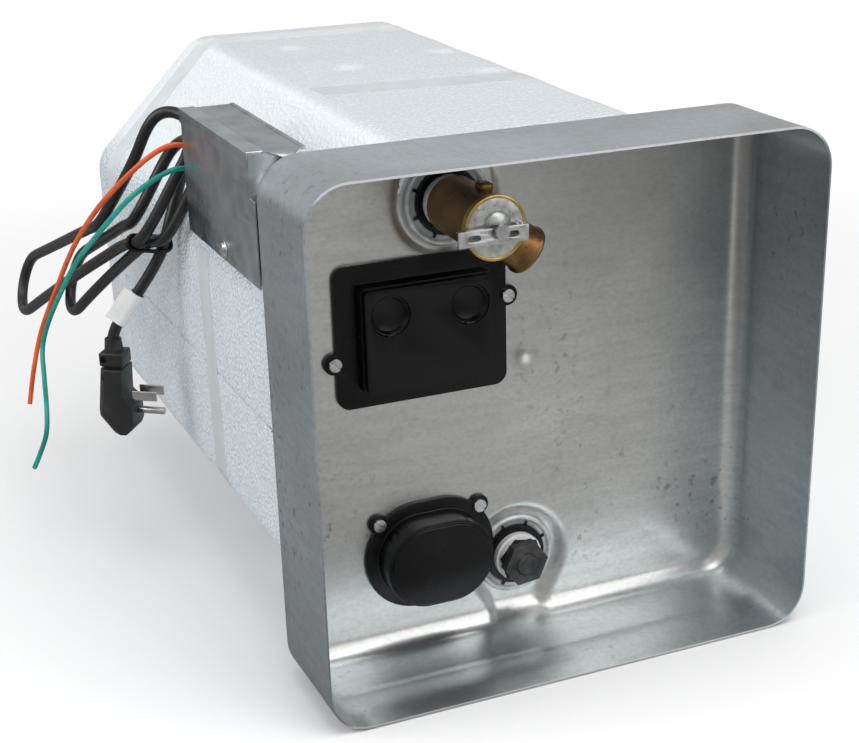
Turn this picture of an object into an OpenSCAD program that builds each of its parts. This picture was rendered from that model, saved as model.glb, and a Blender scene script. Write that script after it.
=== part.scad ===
// Electric water heater for a caravan: a square sheet pan with the controls at the front,
// an insulated steel tank behind it, a wiring box and a mains lead at the side.
// X runs to the right seen from the front, Y to the back, Z up. The origin is on the floor
// below the middle of the heater.

/* [Overall] */
// Depth from the pan's rim to the back of the jacket
overall_d = 487; // [460:1:540]

/* [Front pan] */
// Width of the pan
pan_w = 322; // [316:1:350]
// Height of the pan
pan_h = 322; // [316:1:350]
// Depth from the rim to the panel
pan_d = 86; // [82:1:100]
// Outer radius of the pan's corners
pan_corner_r = 26; // [20:1:34]
// Inner bend radius between the walls and the panel
pan_bend_r = 13; // [8:1:15]
// Thickness of the pan's sheet
sheet_t = 1.2; // [0.8:0.1:2]

/* [Jacket and tank] */
// Chamfer of the jacket's long corners
foam_chamfer = 82; // [70:1:86]
// Radius of the jacket's long edges
foam_edge_r = 10; // [4:1:16]
// How far the jacket starts behind the end of the pan's flat wall
foam_lap = 6; // [5:1:8]
// Least thickness of the jacket round the tank
foam_wall = 14; // [13:0.5:20]
// Thickness of the jacket behind the tank
foam_back_t = 32.8; // [25:0.1:60]
// Height of the tank's dished heads
head_h = 22; // [16:1:30]
// Thickness of the tank's plate
plate_t = 2; // [1.5:0.1:3]

/* [Relief valve] */
// Place across the panel
relief_x = -45; // [-60:1:-30]
// Distance of the valve's axis below the top of the tank
relief_down = 26; // [26:1:36]
// Radius of the bronze body
relief_r = 17; // [15:0.5:19]
// Length from the panel to the valve's face
relief_len = 68; // [60:1:72]
// Length of the lever
lever_len = 42; // [34:1:46]

/* [Reset cover] */
// Place across the panel
reset_x = -63; // [-70:1:-56]
// Distance of the cover's middle below the relief valve
reset_down = 74; // [70:1:80]
// Width of the base plate
reset_w = 109; // [100:1:120]
// Height of the base plate
reset_h = 87; // [80:1:94]
// Height of the raised box over the base plate
reset_rise = 14; // [10:1:18]
// Radius of the push buttons
button_r = 12; // [9:0.5:13]
// Distance between the push buttons
button_pitch = 50; // [44:1:52]

/* [Element cover] */
// Place across the panel
element_x = -62; // [-68:1:-58]
// Height of the element's axis above the bottom of the tank
element_up = 47; // [44:1:52]
// Width of the flange
element_w = 86; // [80:1:90]
// Height of the flange
element_h = 71; // [64:1:74]
// Height of the dome over its flange
dome_rise = 20; // [18:1:26]

/* [Drain] */
// Place across the panel
drain_x = -1; // [-4:1:6]
// Height of the plug's axis above the bottom of the tank
drain_up = 30; // [28:1:36]
// Depth of the drain recess in the panel
drain_dip = 6; // [4:0.5:9]
// Width of the plug's hexagon across its flats
drain_af = 27; // [24:1:30]
// Length of the anode rod
anode_len = 230; // [150:5:260]

/* [Wiring box] */
// Width of the box
box_w = 34; // [28:1:36]
// Height of the box
box_h = 76; // [60:1:80]
// Depth of the box behind the panel
box_d = 134; // [110:1:160]

/* [Mains lead] */
// Diameter of the lead
lead_d = 7.5; // [7:0.1:8]
// Diameter of the loose wires
wire_d = 3.4; // [3:0.1:4]

/* [Hidden] */
$fn = 64;

// Places along the depth, counted from the rim
rim_y = -overall_d / 2;
panel_y = rim_y + pan_d;
panel_back_y = panel_y + sheet_t;
bend_start_y = panel_y - pan_bend_r;
foam_front_y = bend_start_y + foam_lap;
foam_back_y = overall_d / 2;
head_gap = 1;
head_front_y = panel_back_y + head_gap;
head_back_y = foam_back_y - foam_back_t;
tank_len = head_back_y - head_front_y;
eps = 0.01;
fit_gap = 0.3;
touch_gap = 0.05;

// Jacket
foam_gap = 0.5;
foam_half_w = pan_w / 2 - foam_gap;
foam_half_h = pan_h / 2;
foam_edge_steps = 4;

// Tank, and the heights of the controls that are screwed into its front head
tank_z = pan_h / 2;
tank_r = min(pan_w, pan_h) / 2 - foam_wall;
relief_z = tank_z + tank_r - relief_down;
reset_z = relief_z - reset_down;
element_z = tank_z - tank_r + element_up;
drain_z = tank_z - tank_r + drain_up;
dish_steps = 16;
// Room for the relief of the dished head at a given distance from the tank's axis
head_ball_r = (tank_r * tank_r + head_h * head_h) / (2 * head_h);
function head_drop(r) = head_ball_r - sqrt(head_ball_r * head_ball_r - r * r);
function off_axis(x, z) = norm([x, z - tank_z]);

// Threaded spuds
spud_wall = 2.6;
relief_thread_r = 13.2;
drain_thread_r = 13.2;
element_thread_r = 16.4;
water_thread_r = 9.2;
water_spud_r = 13;
water_x = 55;
hot_rise = 70;
pipe_lap = 1;
pipe_r = water_thread_r + pipe_lap;
pipe_wall = 2;
elbow_r = 22;
pickup_in = 30;
pickup_up = 18;
dip_in = 70;
cold_drop = 80;
spud_reach = 8;
spud_in = 1;
spud_set = 1;

// Cups and star rings around the spuds
cup_r = 23.5;
cup_t = 1;
cup_dish = 3;
star_t = 1.2;
star_ring_w = 3.5;
star_spike = 2.6;
star_spike_w = 1.6;
star_lip = 3;
star_count = 8;
tape_t = 1.1;
tape_len = 4;
thread_in = 7;

// Relief valve
relief_face_y = panel_y - relief_len;
relief_spud_y = panel_y - spud_reach;
relief_base_y = relief_spud_y - tape_len;
bonnet_t = 4;
bonnet_lap = 1.5;
bonnet_r = relief_r + bonnet_lap;
chamber_wall = 3.5;
chamber_r = relief_r - chamber_wall;
inlet_r = 8.5;
seat_in = 34;
seat_y = relief_face_y + seat_in;
stem_r = 2.6;
stem_run = 0.08;
stem_head_r = 4;
stem_head_t = 2;
disc_r = 11;
disc_t = 3;
spring_wire = 1.6;
spring_turns = 5;
spring_steps = 8;
spring_r = 7;
outlet_in = 20;
outlet_y = relief_face_y + outlet_in;
outlet_angle = -37;
outlet_r = 13.5;
outlet_bore_r = 9.2;
outlet_reach = 36;
outlet_lap = 2;
probe_len = 110;
probe_r = 4;
probe_in = 12;
lever_t = 1.2;
lever_w = 9;
lever_down = 2.5;
lever_z = relief_z - lever_down;
lever_out = 5.2;
lever_back_y = relief_face_y - lever_out;
lever_right = 17;
hinge_in = 3;
hinge_x = relief_x + lever_right - hinge_in;
hinge_pin_r = 1.2;
hinge_run = 0.06;
hinge_back = 2.2;
hinge_y = lever_back_y + hinge_back;
lug_w = 3;
ear_t = 1;
lever_swing = 15;
lever_slack = 1.4;
fork_gap = 1;
fork_shift = 0.7;
ear_d = 4;
lever_hole_in = 9.5;
lever_hole_w = 7.5;
lever_hole_h = 3.6;
lug_r = 2.1;
pin_out = 0.6;

// Reset cover and its switches
plate_base_t = 2.5;
cover_wall = 2;
reset_box_w = 83;
reset_box_h = 64;
reset_draft = 1;
reset_corner_r = 8;
reset_box_r = 3;
ear_r = 6.5;
reset_front_y = panel_y - plate_base_t - reset_rise;
button_up = 15;
button_travel = 3;
button_t = 5;
button_gap = 0.35;
button_dish = 1.6;
button_stem_r = 3;
button_set = 0.4;
button_rim = 1.5;
window_w = 80;
window_h = 40;
switch_r = 12;
switch_flange_r = 13.5;
switch_flange_t = 1.5;
switch_nose = 4;
bracket_t = 1;
bracket_lap = 8;
screw_r = 4;
screw_head_t = 2.2;
screw_shank_r = 1.9;
screw_len = 7;
screw_slot = 1;
screw_turn = 35;
ear_out = 1;
ear_left_z = -14;
ear_right_z = 12;

// Element cover, element
dome_front_y = panel_y - plate_base_t - dome_rise;
dome_inset = 8;
dome_draft = 2;
dome_w = element_w - 2 * dome_inset;
dome_h = element_h - 2 * dome_inset;
gasket_t = 2;
element_set = 2;
element_hex_t = 8;
terminal_r = 12;
terminal_t = 8;
element_ear_x = 33.5;
element_ear_z = 25.5;
element_hole_r = 21;
element_hex = 36;
hairpin_r = 4;
hairpin_half = 9;
hairpin_len = 210;

// Drain recess and plug
dip_r = 26;
trough_w = 34;
drain_floor_y = panel_y + drain_dip;
drain_spud_y = drain_floor_y - spud_reach;
drain_tape_y = drain_spud_y - tape_len;
hex_t = 8;
core_r = 4.6;
anode_r = 10;
anode_wire_r = 1.6;
anode_wire = 4;
hex_turn = 12;
boss_t = 1.2;
boss_dent_r = 2.2;

// Wiring box in the jacket's upper left corner
box_sheet = 0.9;
box_proud = 0.3;
box_x = -foam_half_w - box_proud;
box_top = pan_h;
box_front_y = panel_back_y + fit_gap;
box_back_y = box_front_y + box_d;
box_tongue = 7;
lid_lip = 9;
box_screw_in = 58;
box_screw_up = 7;
washer_lap = 1.6;
washer_t = 0.8;
neck_gap = 2;
neck_in = 4;
flange_t = 3;
wire_half = 2.5;
cord_exit_x = box_x + box_w / 2;
cord_down = 20;
cord_exit_z = box_top - cord_down;
wire_down = 38;
wire_exit_z = box_top - wire_down;
bushing_r = 8;
bushing_out = 14;
cord_exit = [cord_exit_x, box_back_y + bushing_out, cord_exit_z];
cord_start = [cord_exit_x, box_back_y - neck_in, cord_exit_z];
wire_exit = [cord_exit_x, box_back_y + flange_t, wire_exit_z];

// Mains lead: the tied hank lies in a plane that leans away from the jacket's side
hank_from = [-40.2, -26, -34];
hank_o = cord_exit + hank_from;
hank_dir = [-0.14, 0.9, -0.41];
hank_in_side = [1, 0, -0.35];
hank_fold_r = 21;
hank_end = [300, 206];
hank_fan = [0, -6];
hank_top = 14;
hank_waist_u = 58;
hank_waist = 0.5;
hank_waist_l = 26;
hank_layer = 10.6;
hank_tuck = [20, 36, 14];
hank_tuck_u = 58;
lead_start_u = 130;
tail_start_u = 34;
// The lead's way from the wiring box to the hank, hand-placed from the bushing outwards
lead_route = [[-2, 15, 4], [-8, 27, 9], [-18, 34, 9], [-26, 38, -2], [-32, 45, -19], [-39, 58, -38]];

// Loose wires, hand-placed points from the grommet outwards
orange_route = [
    [0, 0, 2.5], [-2, 5, 5], [-9, 8, 10], [-20, 9, 13], [-34, 12, 7], [-52, 22, -10], [-64, 50, -34],
    [-73, 88, -66], [-82, 118, -102], [-88, 136, -126], [-93, 144, -144], [-100, 142, -166], [-106, 138, -188]
];
green_route = [
    [0, 0, -2.5], [-2, 5, -2], [-10, 7, -2], [-22, 7, -2], [-36, 8, -8], [-51, 14, -20], [-64, 44, -46],
    [-73, 82, -74], [-80, 108, -100], [-88, 126, -126], [-94, 128, -145], [-98, 112, -161], [-103, 88, -176],
    [-107, 78, -189], [-112, 85, -206], [-115, 94, -218]
];
// Tail of the lead from the hank to the plug, hand-placed
tail_drop = [
    [-2.4, 0.2, -10.2], [-5.2, 2.2, -22.4], [-8.4, 6.1, -36.4], [-16, 11, -52], [-27, 16, -69],
    [-38, 20, -84], [-44, 22, -95], [-44, 22, -105]
];
tie_w = 38.5;
tie_h = 20;
tie_len = 4.5;
tie_t = 0.9;
// Height of the tie's middle in the hank, counted in layers
tie_layer = 1.11;
tag_len = 26;
tag_gap = 1;
tag_t = 0.8;
plug_d = 25;
plug_t = 20;
plug_len = 58;
plug_neck = 14;
plug_neck_r = 6.5;
plug_turn = 53;
blade_t = 1.5;
blade_w = 6.3;
blade_len = 17;
blade_half = 6.35;
blade_up = 24;
earth_up = 15;
earth_r = 2.4;
earth_extra = 2;

// Routes, frames and tubes
function unit(v) = v / norm(v);
function clamp01(t) = min(1, max(0, t));
function spline_at(a, b, c, d, t) =
    0.5 * (2 * b + t * (c - a) + t * t * (2 * a - 5 * b + 4 * c - d)
    + t * t * t * (3 * b - a - 3 * c + d));
// Points along a smooth curve through p, with m steps between two points
function smooth(p, m) = let (n = len(p) - 1) concat(
    [for (i = [0 : n - 1], k = [0 : m - 1])
        spline_at(p[max(i - 1, 0)], p[i], p[i + 1], p[min(i + 2, n)], k / m)],
    [p[n]]);
function tangents(p) = let (n = len(p) - 1)
    [for (i = [0 : n]) unit(p[min(i + 1, n)] - p[max(i - 1, 0)])];
function square_to(n, t) = unit(n - (n * t) * t);
// One normal for each tangent, carried along without twist
function normals(t) =
    [for (i = 0, n = square_to([0.31, 0.17, 0.93], t[0]); i < len(t);
        i = i + 1, n = square_to(n, t[min(i, len(t) - 1)])) n];
// Length of a route
function route_len(p) = [for (i = 0, s = 0; i < len(p);
    i = i + 1, s = s + (i < len(p) ? norm(p[i] - p[i - 1]) : 0)) s][len(p) - 1];

// A round tube along the points p
module tube(p, d, sides) {
    t = tangents(p);
    n = normals(t);
    rings = len(p);
    skin = [for (i = [0 : rings - 1], k = [0 : sides - 1])
        let (a = 360 * k / sides)
        p[i] + d / 2 * (cos(a) * n[i] + sin(a) * cross(t[i], n[i]))];
    walls = [for (i = [0 : rings - 2], k = [0 : sides - 1], h = [0, 1])
        let (a = i * sides + k, b = i * sides + (k + 1) % sides)
        h == 0 ? [a, a + sides, b] : [b, a + sides, b + sides]];
    first = [for (k = [1 : sides - 2]) [0, k, k + 1]];
    base = (rings - 1) * sides;
    last = [for (k = [1 : sides - 2]) [base, base + k + 1, base + k]];
    polyhedron(concat(skin, [p[0], p[rings - 1]]), concat(walls, first, last));
}

// A solid of revolution or a cylinder whose axis runs along Y from y0 to y1
module rod(x, z, r, y0, y1) {
    translate([x, y0, z]) rotate([-90, 0, 0]) cylinder(r = r, h = y1 - y0);
}
module ring(x, z, r_out, r_in, y0, y1) {
    difference() {
        rod(x, z, r_out, y0, y1);
        rod(x, z, r_in, y0 - 1, y1 + 1);
    }
}
// A flat outline in X and Z, extruded from y0 to y1
module slab(y0, y1) {
    translate([0, y1, 0]) rotate([90, 0, 0]) linear_extrude(y1 - y0) children();
}
// A rectangle with round corners, centred
module round_rect(w, h, r) {
    square([w - 2 * r, h], center = true);
    square([w, h - 2 * r], center = true);
    for (x = [-1, 1], z = [-1, 1]) translate([x * (w / 2 - r), z * (h / 2 - r)]) circle(r);
}
// An oval with two straight sides, centred
module oval(w, h) {
    square([w - h, h], center = true);
    for (x = [-1, 1]) translate([x * (w - h) / 2, 0]) circle(h / 2);
}
// An outline whose corners are replaced by arcs of radius r
function round_corner(a, b, c, r, steps) =
    let (u = unit(a - b), v = unit(c - b), half = acos(u * v) / 2,
        reach = r / tan(half), mid = b + unit(u + v) * r / sin(half),
        p0 = b + u * reach - mid, p1 = b + v * reach - mid,
        a0 = atan2(p0[1], p0[0]), turn = (atan2(p1[1], p1[0]) - a0 + 540) % 360 - 180)
    [for (k = [0 : steps]) mid + r * [cos(a0 + turn * k / steps), sin(a0 + turn * k / steps)]];
function round_outline(p, r, steps) = let (n = len(p))
    [for (i = [0 : n - 1]) each round_corner(p[(i + n - 1) % n], p[i], p[(i + 1) % n], r, steps)];

// Front pan

// The solid that the pan's outside fills, shrunk by g on every side but the front
module pan_block(g, y0) {
    w = pan_w - 2 * g;
    h = pan_h - 2 * g;
    r = pan_corner_r - g;
    bend = pan_bend_r + sheet_t - g;
    back = panel_back_y - g;
    translate([0, 0, pan_h / 2]) {
        pan_run(w, h - 2 * r, bend, y0, back);
        rotate([0, 90, 0]) pan_run(h, w - 2 * r, bend, y0, back);
        for (x = [-1, 1], z = [-1, 1]) translate([x * (w / 2 - r), 0, z * (h / 2 - r)])
            rotate([-90, 0, 0]) rotate_extrude() pan_corner(r, bend, y0, back);
    }
}
// One straight run of the pan with its two back edges rounded
module pan_run(w, l, bend, y0, back) {
    translate([0, 0, -l / 2]) linear_extrude(l) {
        translate([-w / 2, y0]) square([w, back - bend - y0]);
        translate([-w / 2 + bend, y0]) square([w - 2 * bend, back - y0]);
        for (x = [-1, 1]) translate([x * (w / 2 - bend), back - bend]) circle(bend);
    }
}
module pan_corner(r, bend, y0, back) {
    translate([0, y0]) square([r, back - bend - y0]);
    translate([0, y0]) square([r - bend, back - y0]);
    intersection() {
        translate([r - bend, back - bend]) circle(bend);
        translate([0, y0]) square([r + 1, back - y0]);
    }
}
// Recess and run-off trough round the drain, grown by g
module drain_recess(g) {
    rod(drain_x, drain_z, dip_r + g, panel_y - pan_bend_r, drain_floor_y + g);
    translate([drain_x - trough_w / 2 - g, bend_start_y, sheet_t - g])
        cube([trough_w + 2 * g, drain_floor_y + g - bend_start_y, drain_z - sheet_t + g]);
}
module front_pan() {
    color("silver") difference() {
        union() {
            pan_block(0, rim_y);
            drain_recess(sheet_t);
        }
        pan_block(sheet_t, rim_y - 1);
        drain_recess(0);
        panel_hole(relief_x, relief_z, relief_thread_r + spud_wall + fit_gap);
        panel_hole(drain_x, drain_z, drain_thread_r + spud_wall + fit_gap);
        panel_hole(element_x, element_z, element_hole_r);
        slab(panel_y - 1, panel_back_y + 1)
            translate([reset_x, reset_z + button_up]) square([window_w, window_h], center = true);
        for (s = reset_screw_places()) panel_hole(s[0], s[1], screw_shank_r + touch_gap);
        for (s = element_screw_places()) panel_hole(s[0], s[1], screw_shank_r + touch_gap);
    }
}
module panel_hole(x, z, r) {
    rod(x, z, r, panel_y - 1, drain_floor_y + sheet_t + 1);
}

// Jacket of two expanded foam halves

foam_outline = let (w = foam_half_w, h = foam_half_h, c = foam_chamfer)
    [[w, -h + c], [w, h - c], [w - c, h], [-w + c, h], [-w, h - c], [-w, -h + c], [-w + c, -h], [w - c, -h]];
module foam_half(side) {
    color("white") difference() {
        intersection() {
            translate([0, 0, tank_z]) slab(foam_front_y, foam_back_y)
                polygon(round_outline(foam_outline, foam_edge_r, foam_edge_steps));
            translate([-pan_w, rim_y, side > 0 ? tank_z : tank_z - pan_h])
                cube([2 * pan_w, overall_d + 1, pan_h]);
        }
        tank_space();
        pan_block(-fit_gap, rim_y);
        drain_recess(sheet_t + fit_gap);
        translate([box_x - 1, foam_front_y - 1, box_top - box_h - fit_gap])
            cube([box_w + 1 + fit_gap, box_back_y + fit_gap - foam_front_y + 1, box_h + 2]);
        for (z = [tank_z + hot_rise, tank_z - cold_drop])
            rod(water_x, z, water_spud_r + fit_gap, head_back_y - head_h - 1, foam_back_y + 1);
    }
}
// Room for the tank, a cylinder with dished ends, open to the pan
module tank_space() {
    translate([0, head_front_y, tank_z]) rotate([-90, 0, 0]) rotate_extrude()
        polygon(concat([[0, -2 * pan_d], [tank_r + fit_gap, -2 * pan_d]],
            dish(tank_r + fit_gap, tank_len - head_h + fit_gap, 1)));
}
module foam_upper() { foam_half(1); }
module foam_lower() { foam_half(-1); }

// Tank

// Points of a dished head's outline from its edge to its middle
function dish(r, y, way) = [for (k = [0 : dish_steps]) let (q = r * (1 - k / dish_steps))
    [q, y + way * (head_h - head_drop(min(q, tank_r)))]];
module tank_shell() {
    color("slategray") ring(0, tank_z, tank_r, tank_r - plate_t,
        head_front_y + head_h + plate_t, head_back_y - head_h - plate_t);
}
// Half section of a head, dished towards way
module head_plate(way) {
    inner = dish(tank_r, -way * plate_t, way);
    polygon(concat(dish(tank_r, 0, way), [for (k = [len(inner) - 1 : -1 : 0]) inner[k]]));
}
module tank_front_head() {
    color("slategray") difference() {
        translate([0, head_front_y + head_h, tank_z]) rotate([-90, 0, 0])
            rotate_extrude() head_plate(-1);
        head_hole(relief_x, relief_z, relief_thread_r + spud_wall);
        head_hole(drain_x, drain_z, drain_thread_r + spud_wall);
        head_hole(element_x, element_z, element_thread_r + spud_wall);
    }
}
module head_hole(x, z, r) {
    rod(x, z, r + touch_gap, panel_y, head_front_y + 2 * head_h);
}
module tank_rear_head() {
    color("slategray") difference() {
        translate([0, head_back_y - head_h, tank_z]) rotate([-90, 0, 0])
            rotate_extrude() head_plate(1);
        for (z = [tank_z + hot_rise, tank_z - cold_drop])
            rod(water_x, z, water_spud_r + touch_gap, head_back_y - 2 * head_h, foam_back_y);
    }
}
// How far a spud at x, z reaches into the tank
function spud_end(x, z, r) = head_front_y + head_drop(min(off_axis(x, z) + r, tank_r)) + plate_t
    + spud_in;
module spud(x, z, r, y0) {
    color("dimgray") ring(x, z, r + spud_wall, r, y0, spud_end(x, z, r + spud_wall));
}
module relief_spud() { spud(relief_x, relief_z, relief_thread_r, relief_spud_y); }
module drain_spud() { spud(drain_x, drain_z, drain_thread_r, drain_spud_y); }
module element_spud() { spud(element_x, element_z, element_thread_r, element_seat_y()); }
function water_start(z) = head_back_y - head_drop(off_axis(water_x, z) + water_spud_r) - plate_t
    - spud_in;
module water_spud(z) {
    color("dimgray") ring(water_x, z, water_spud_r, water_thread_r, water_start(z),
        foam_back_y - spud_set);
}
module hot_outlet_spud() { water_spud(tank_z + hot_rise); }
module cold_inlet_spud() { water_spud(tank_z - cold_drop); }

module hot_pickup_tube() {
    z = tank_z + hot_rise;
    y = water_start(z) - pickup_in;
    color("peru") {
        ring(water_x, z, pipe_r, pipe_r - pipe_wall, y, water_start(z));
        translate([water_x, y, z + elbow_r]) rotate([0, 90, 0]) rotate([0, 0, -90])
            rotate_extrude(angle = 90) translate([elbow_r, 0]) difference() {
                circle(pipe_r);
                circle(pipe_r - pipe_wall);
            }
        translate([water_x, y - elbow_r, z + elbow_r]) difference() {
            cylinder(r = pipe_r, h = pickup_up);
            translate([0, 0, -1]) cylinder(r = pipe_r - pipe_wall, h = pickup_up + 2);
        }
    }
}
module cold_dip_tube() {
    z = tank_z - cold_drop;
    color("ivory") ring(water_x, z, pipe_r, pipe_r - pipe_wall, water_start(z) - dip_in, water_start(z));
}

// Dished cups, star rings and thread tape round the spuds

module cup(x, z, seat_y, bore) {
    color("gainsboro") translate([x, seat_y, z]) rotate([90, 0, 0]) rotate_extrude()
        polygon([[bore, 0], [cup_r, 0], [cup_r, cup_dish], [cup_r - cup_t, cup_dish],
            [cup_r - cup_t, cup_t], [bore, cup_t]]);
}
module star_ring(x, z, y, bore) {
    color("black") {
        ring(x, z, bore + star_ring_w, bore, y - star_t - star_lip, y);
        for (k = [0 : star_count - 1]) translate([x, y, z]) rotate([0, 360 * (k + 0.5) / star_count, 0])
            translate([bore + star_ring_w / 2, -star_t, -star_spike_w / 2])
                cube([star_ring_w / 2 + star_spike, star_t, star_spike_w]);
    }
}
module tape(x, z, r, y) { color("white") ring(x, z, r + tape_t, r + touch_gap, y, y + tape_len); }
module relief_cup() { cup(relief_x, relief_z, panel_y, relief_thread_r + spud_wall + fit_gap); }
module drain_cup() { cup(drain_x, drain_z, drain_floor_y, drain_thread_r + spud_wall + fit_gap); }
module relief_star_ring() {
    star_ring(relief_x, relief_z, panel_y - cup_t, relief_thread_r + spud_wall + touch_gap);
}
module drain_star_ring() {
    star_ring(drain_x, drain_z, drain_floor_y - cup_t, drain_thread_r + spud_wall + touch_gap);
}
module relief_tape() { tape(relief_x, relief_z, relief_thread_r, relief_base_y); }
module drain_tape() { tape(drain_x, drain_z, drain_thread_r, drain_tape_y); }

// Relief valve: a spring holds the disc on its seat until the lever or the pressure lifts it

module relief_body() {
    color("peru") difference() {
        union() {
            rod(relief_x, relief_z, relief_r, relief_face_y + bonnet_t, relief_base_y);
            rod(relief_x, relief_z, relief_thread_r, relief_base_y - eps, relief_thread_end());
            relief_outlet(outlet_r, 0, outlet_reach);
        }
        rod(relief_x, relief_z, chamber_r, relief_face_y, seat_y);
        rod(relief_x, relief_z, inlet_r, seat_y - 1, relief_thread_end() + 1);
        relief_outlet(outlet_bore_r, chamber_r - outlet_lap, outlet_reach + 1);
    }
}
function relief_thread_end() = panel_y + thread_in;
module relief_outlet(r, from, to) {
    translate([relief_x, outlet_y, relief_z]) rotate([0, -outlet_angle, 0]) rotate([0, 90, 0])
        translate([0, 0, from]) cylinder(r = r, h = to - from);
}
module relief_bonnet() {
    color("gainsboro") difference() {
        union() {
            rod(relief_x, relief_z, bonnet_r, relief_face_y, relief_face_y + bonnet_t);
            translate([0, 0, lever_z]) hinge_lug(lug_w);
        }
        rod(relief_x, relief_z, stem_r + stem_run, relief_face_y - 1, relief_face_y + bonnet_t + 1);
        hinge_bore(hinge_pin_r + touch_gap);
    }
}
// A tongue with a round end that carries the lever's hinge pin
module hinge_lug(w) {
    translate([hinge_x, hinge_y, -w / 2]) linear_extrude(w) {
        circle(lug_r);
        translate([-lug_r, 0]) square([2 * lug_r, relief_face_y - hinge_y + 1]);
    }
}
module hinge_bore(r) {
    translate([hinge_x, hinge_y, lever_z - lever_w]) cylinder(r = r, h = 2 * lever_w);
}
module relief_stem() {
    front = lever_back_y - lever_t - lever_slack;
    color("gainsboro") {
        rod(relief_x, relief_z, stem_r, front - eps, seat_y - disc_t);
        rod(relief_x, relief_z, stem_head_r, front - stem_head_t, front);
    }
}
module relief_disc() {
    color("dimgray") rod(relief_x, relief_z, disc_r, seat_y - disc_t, seat_y - touch_gap);
}
module relief_spring() {
    y0 = relief_face_y + bonnet_t + spring_wire / 2 + touch_gap;
    y1 = seat_y - disc_t - spring_wire / 2 - touch_gap;
    steps = spring_turns * spring_steps;
    path = [for (k = [0 : steps]) let (a = 360 * spring_turns * k / steps)
        [relief_x + spring_r * cos(a), y0 + (y1 - y0) * k / steps, relief_z + spring_r * sin(a)]];
    color("gray") tube(path, spring_wire, 6);
}
// A channel-shaped strip with two oblong windows, a fork for the stem and two hinge ears
module relief_lever() {
    left = relief_x + lever_right - lever_len;
    right = relief_x + lever_right;
    color("lightgray") difference() {
        union() {
            translate([left, lever_back_y - lever_t, lever_z - lever_w / 2])
                cube([lever_len, lever_t, lever_w]);
            for (z = [lever_z - lever_w / 2, lever_z + lever_w / 2 - ear_t])
                translate([right - 2 * hinge_in, lever_back_y - eps, z]) cube([2 * hinge_in, ear_d, ear_t]);
        }
        slab(lever_back_y - lever_t - 1, lever_back_y + eps) {
            for (x = [left + lever_hole_in, right - lever_hole_in]) translate([x, lever_z])
                oval(lever_hole_w, lever_hole_h);
            translate([relief_x - fork_shift, relief_z]) {
                circle(stem_r + fork_gap);
                translate([-stem_r - fork_gap, 0]) square([2 * (stem_r + fork_gap), lever_w]);
            }
        }
        hinge_bore(hinge_pin_r + hinge_run);
    }
}
module relief_lever_pin() {
    color("gray") translate([hinge_x, hinge_y, lever_z - lever_w / 2 - pin_out])
        cylinder(r = hinge_pin_r, h = lever_w + 2 * pin_out);
}
module relief_probe() {
    start = seat_y + probe_in;
    bar = sqrt(inlet_r * inlet_r - probe_r * probe_r / 4) - touch_gap;
    color("peru") {
        rod(relief_x, relief_z, probe_r, start, relief_thread_end() + probe_len);
        translate([relief_x - bar, start, relief_z - probe_r / 2]) cube([2 * bar, probe_r, probe_r]);
    }
}

// Reset cover with its two push buttons, and the switches that they reset

function reset_screw_places() = [[reset_x - reset_w / 2 - ear_out, reset_z + ear_left_z],
    [reset_x + reset_w / 2 + ear_out, reset_z + ear_right_z]];
function button_places() = [for (s = [-1, 1]) [reset_x + s * button_pitch / 2, reset_z + button_up]];
module reset_cover() {
    inner_w = reset_box_w - 2 * cover_wall;
    inner_h = reset_box_h - 2 * cover_wall;
    color("#1c1c1e") difference() {
        union() {
            slab(panel_y - plate_base_t, panel_y) {
                translate([reset_x, reset_z]) round_rect(reset_w, reset_h, reset_corner_r);
                for (s = reset_screw_places()) translate(s) circle(ear_r);
            }
            slab(reset_front_y + reset_rise / 3, panel_y) translate([reset_x, reset_z])
                round_rect(reset_box_w, reset_box_h, reset_box_r);
            slab(reset_front_y, panel_y) translate([reset_x, reset_z])
                round_rect(reset_box_w - 2 * reset_draft, reset_box_h - 2 * reset_draft, reset_box_r);
        }
        slab(reset_front_y + cover_wall, panel_y + 1) translate([reset_x, reset_z])
            square([inner_w, inner_h], center = true);
        for (b = button_places()) rod(b[0], b[1], button_r + button_gap, reset_front_y - 1, panel_y);
        for (s = reset_screw_places()) cover_hole(s);
    }
}
module cover_hole(s) {
    rod(s[0], s[1], screw_shank_r + touch_gap, panel_y - 2 * plate_base_t, panel_y + 1);
}
module reset_button(b) {
    dish_r = (button_r * button_r + button_dish * button_dish) / (2 * button_dish);
    front = reset_front_y + button_set;
    rim_front = reset_front_y + cover_wall + touch_gap;
    color("#232325") difference() {
        union() {
            rod(b[0], b[1], button_r, front, front + button_t);
            rod(b[0], b[1], button_r + button_rim, rim_front, rim_front + button_rim);
            rod(b[0], b[1], button_stem_r, front + button_t - 1, switch_face_y() - touch_gap);
        }
        translate([b[0], front - dish_r + button_dish, b[1]]) sphere(dish_r, $fn = 96);
    }
}
module reset_button_left() { reset_button(button_places()[0]); }
module reset_button_right() { reset_button(button_places()[1]); }
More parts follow.
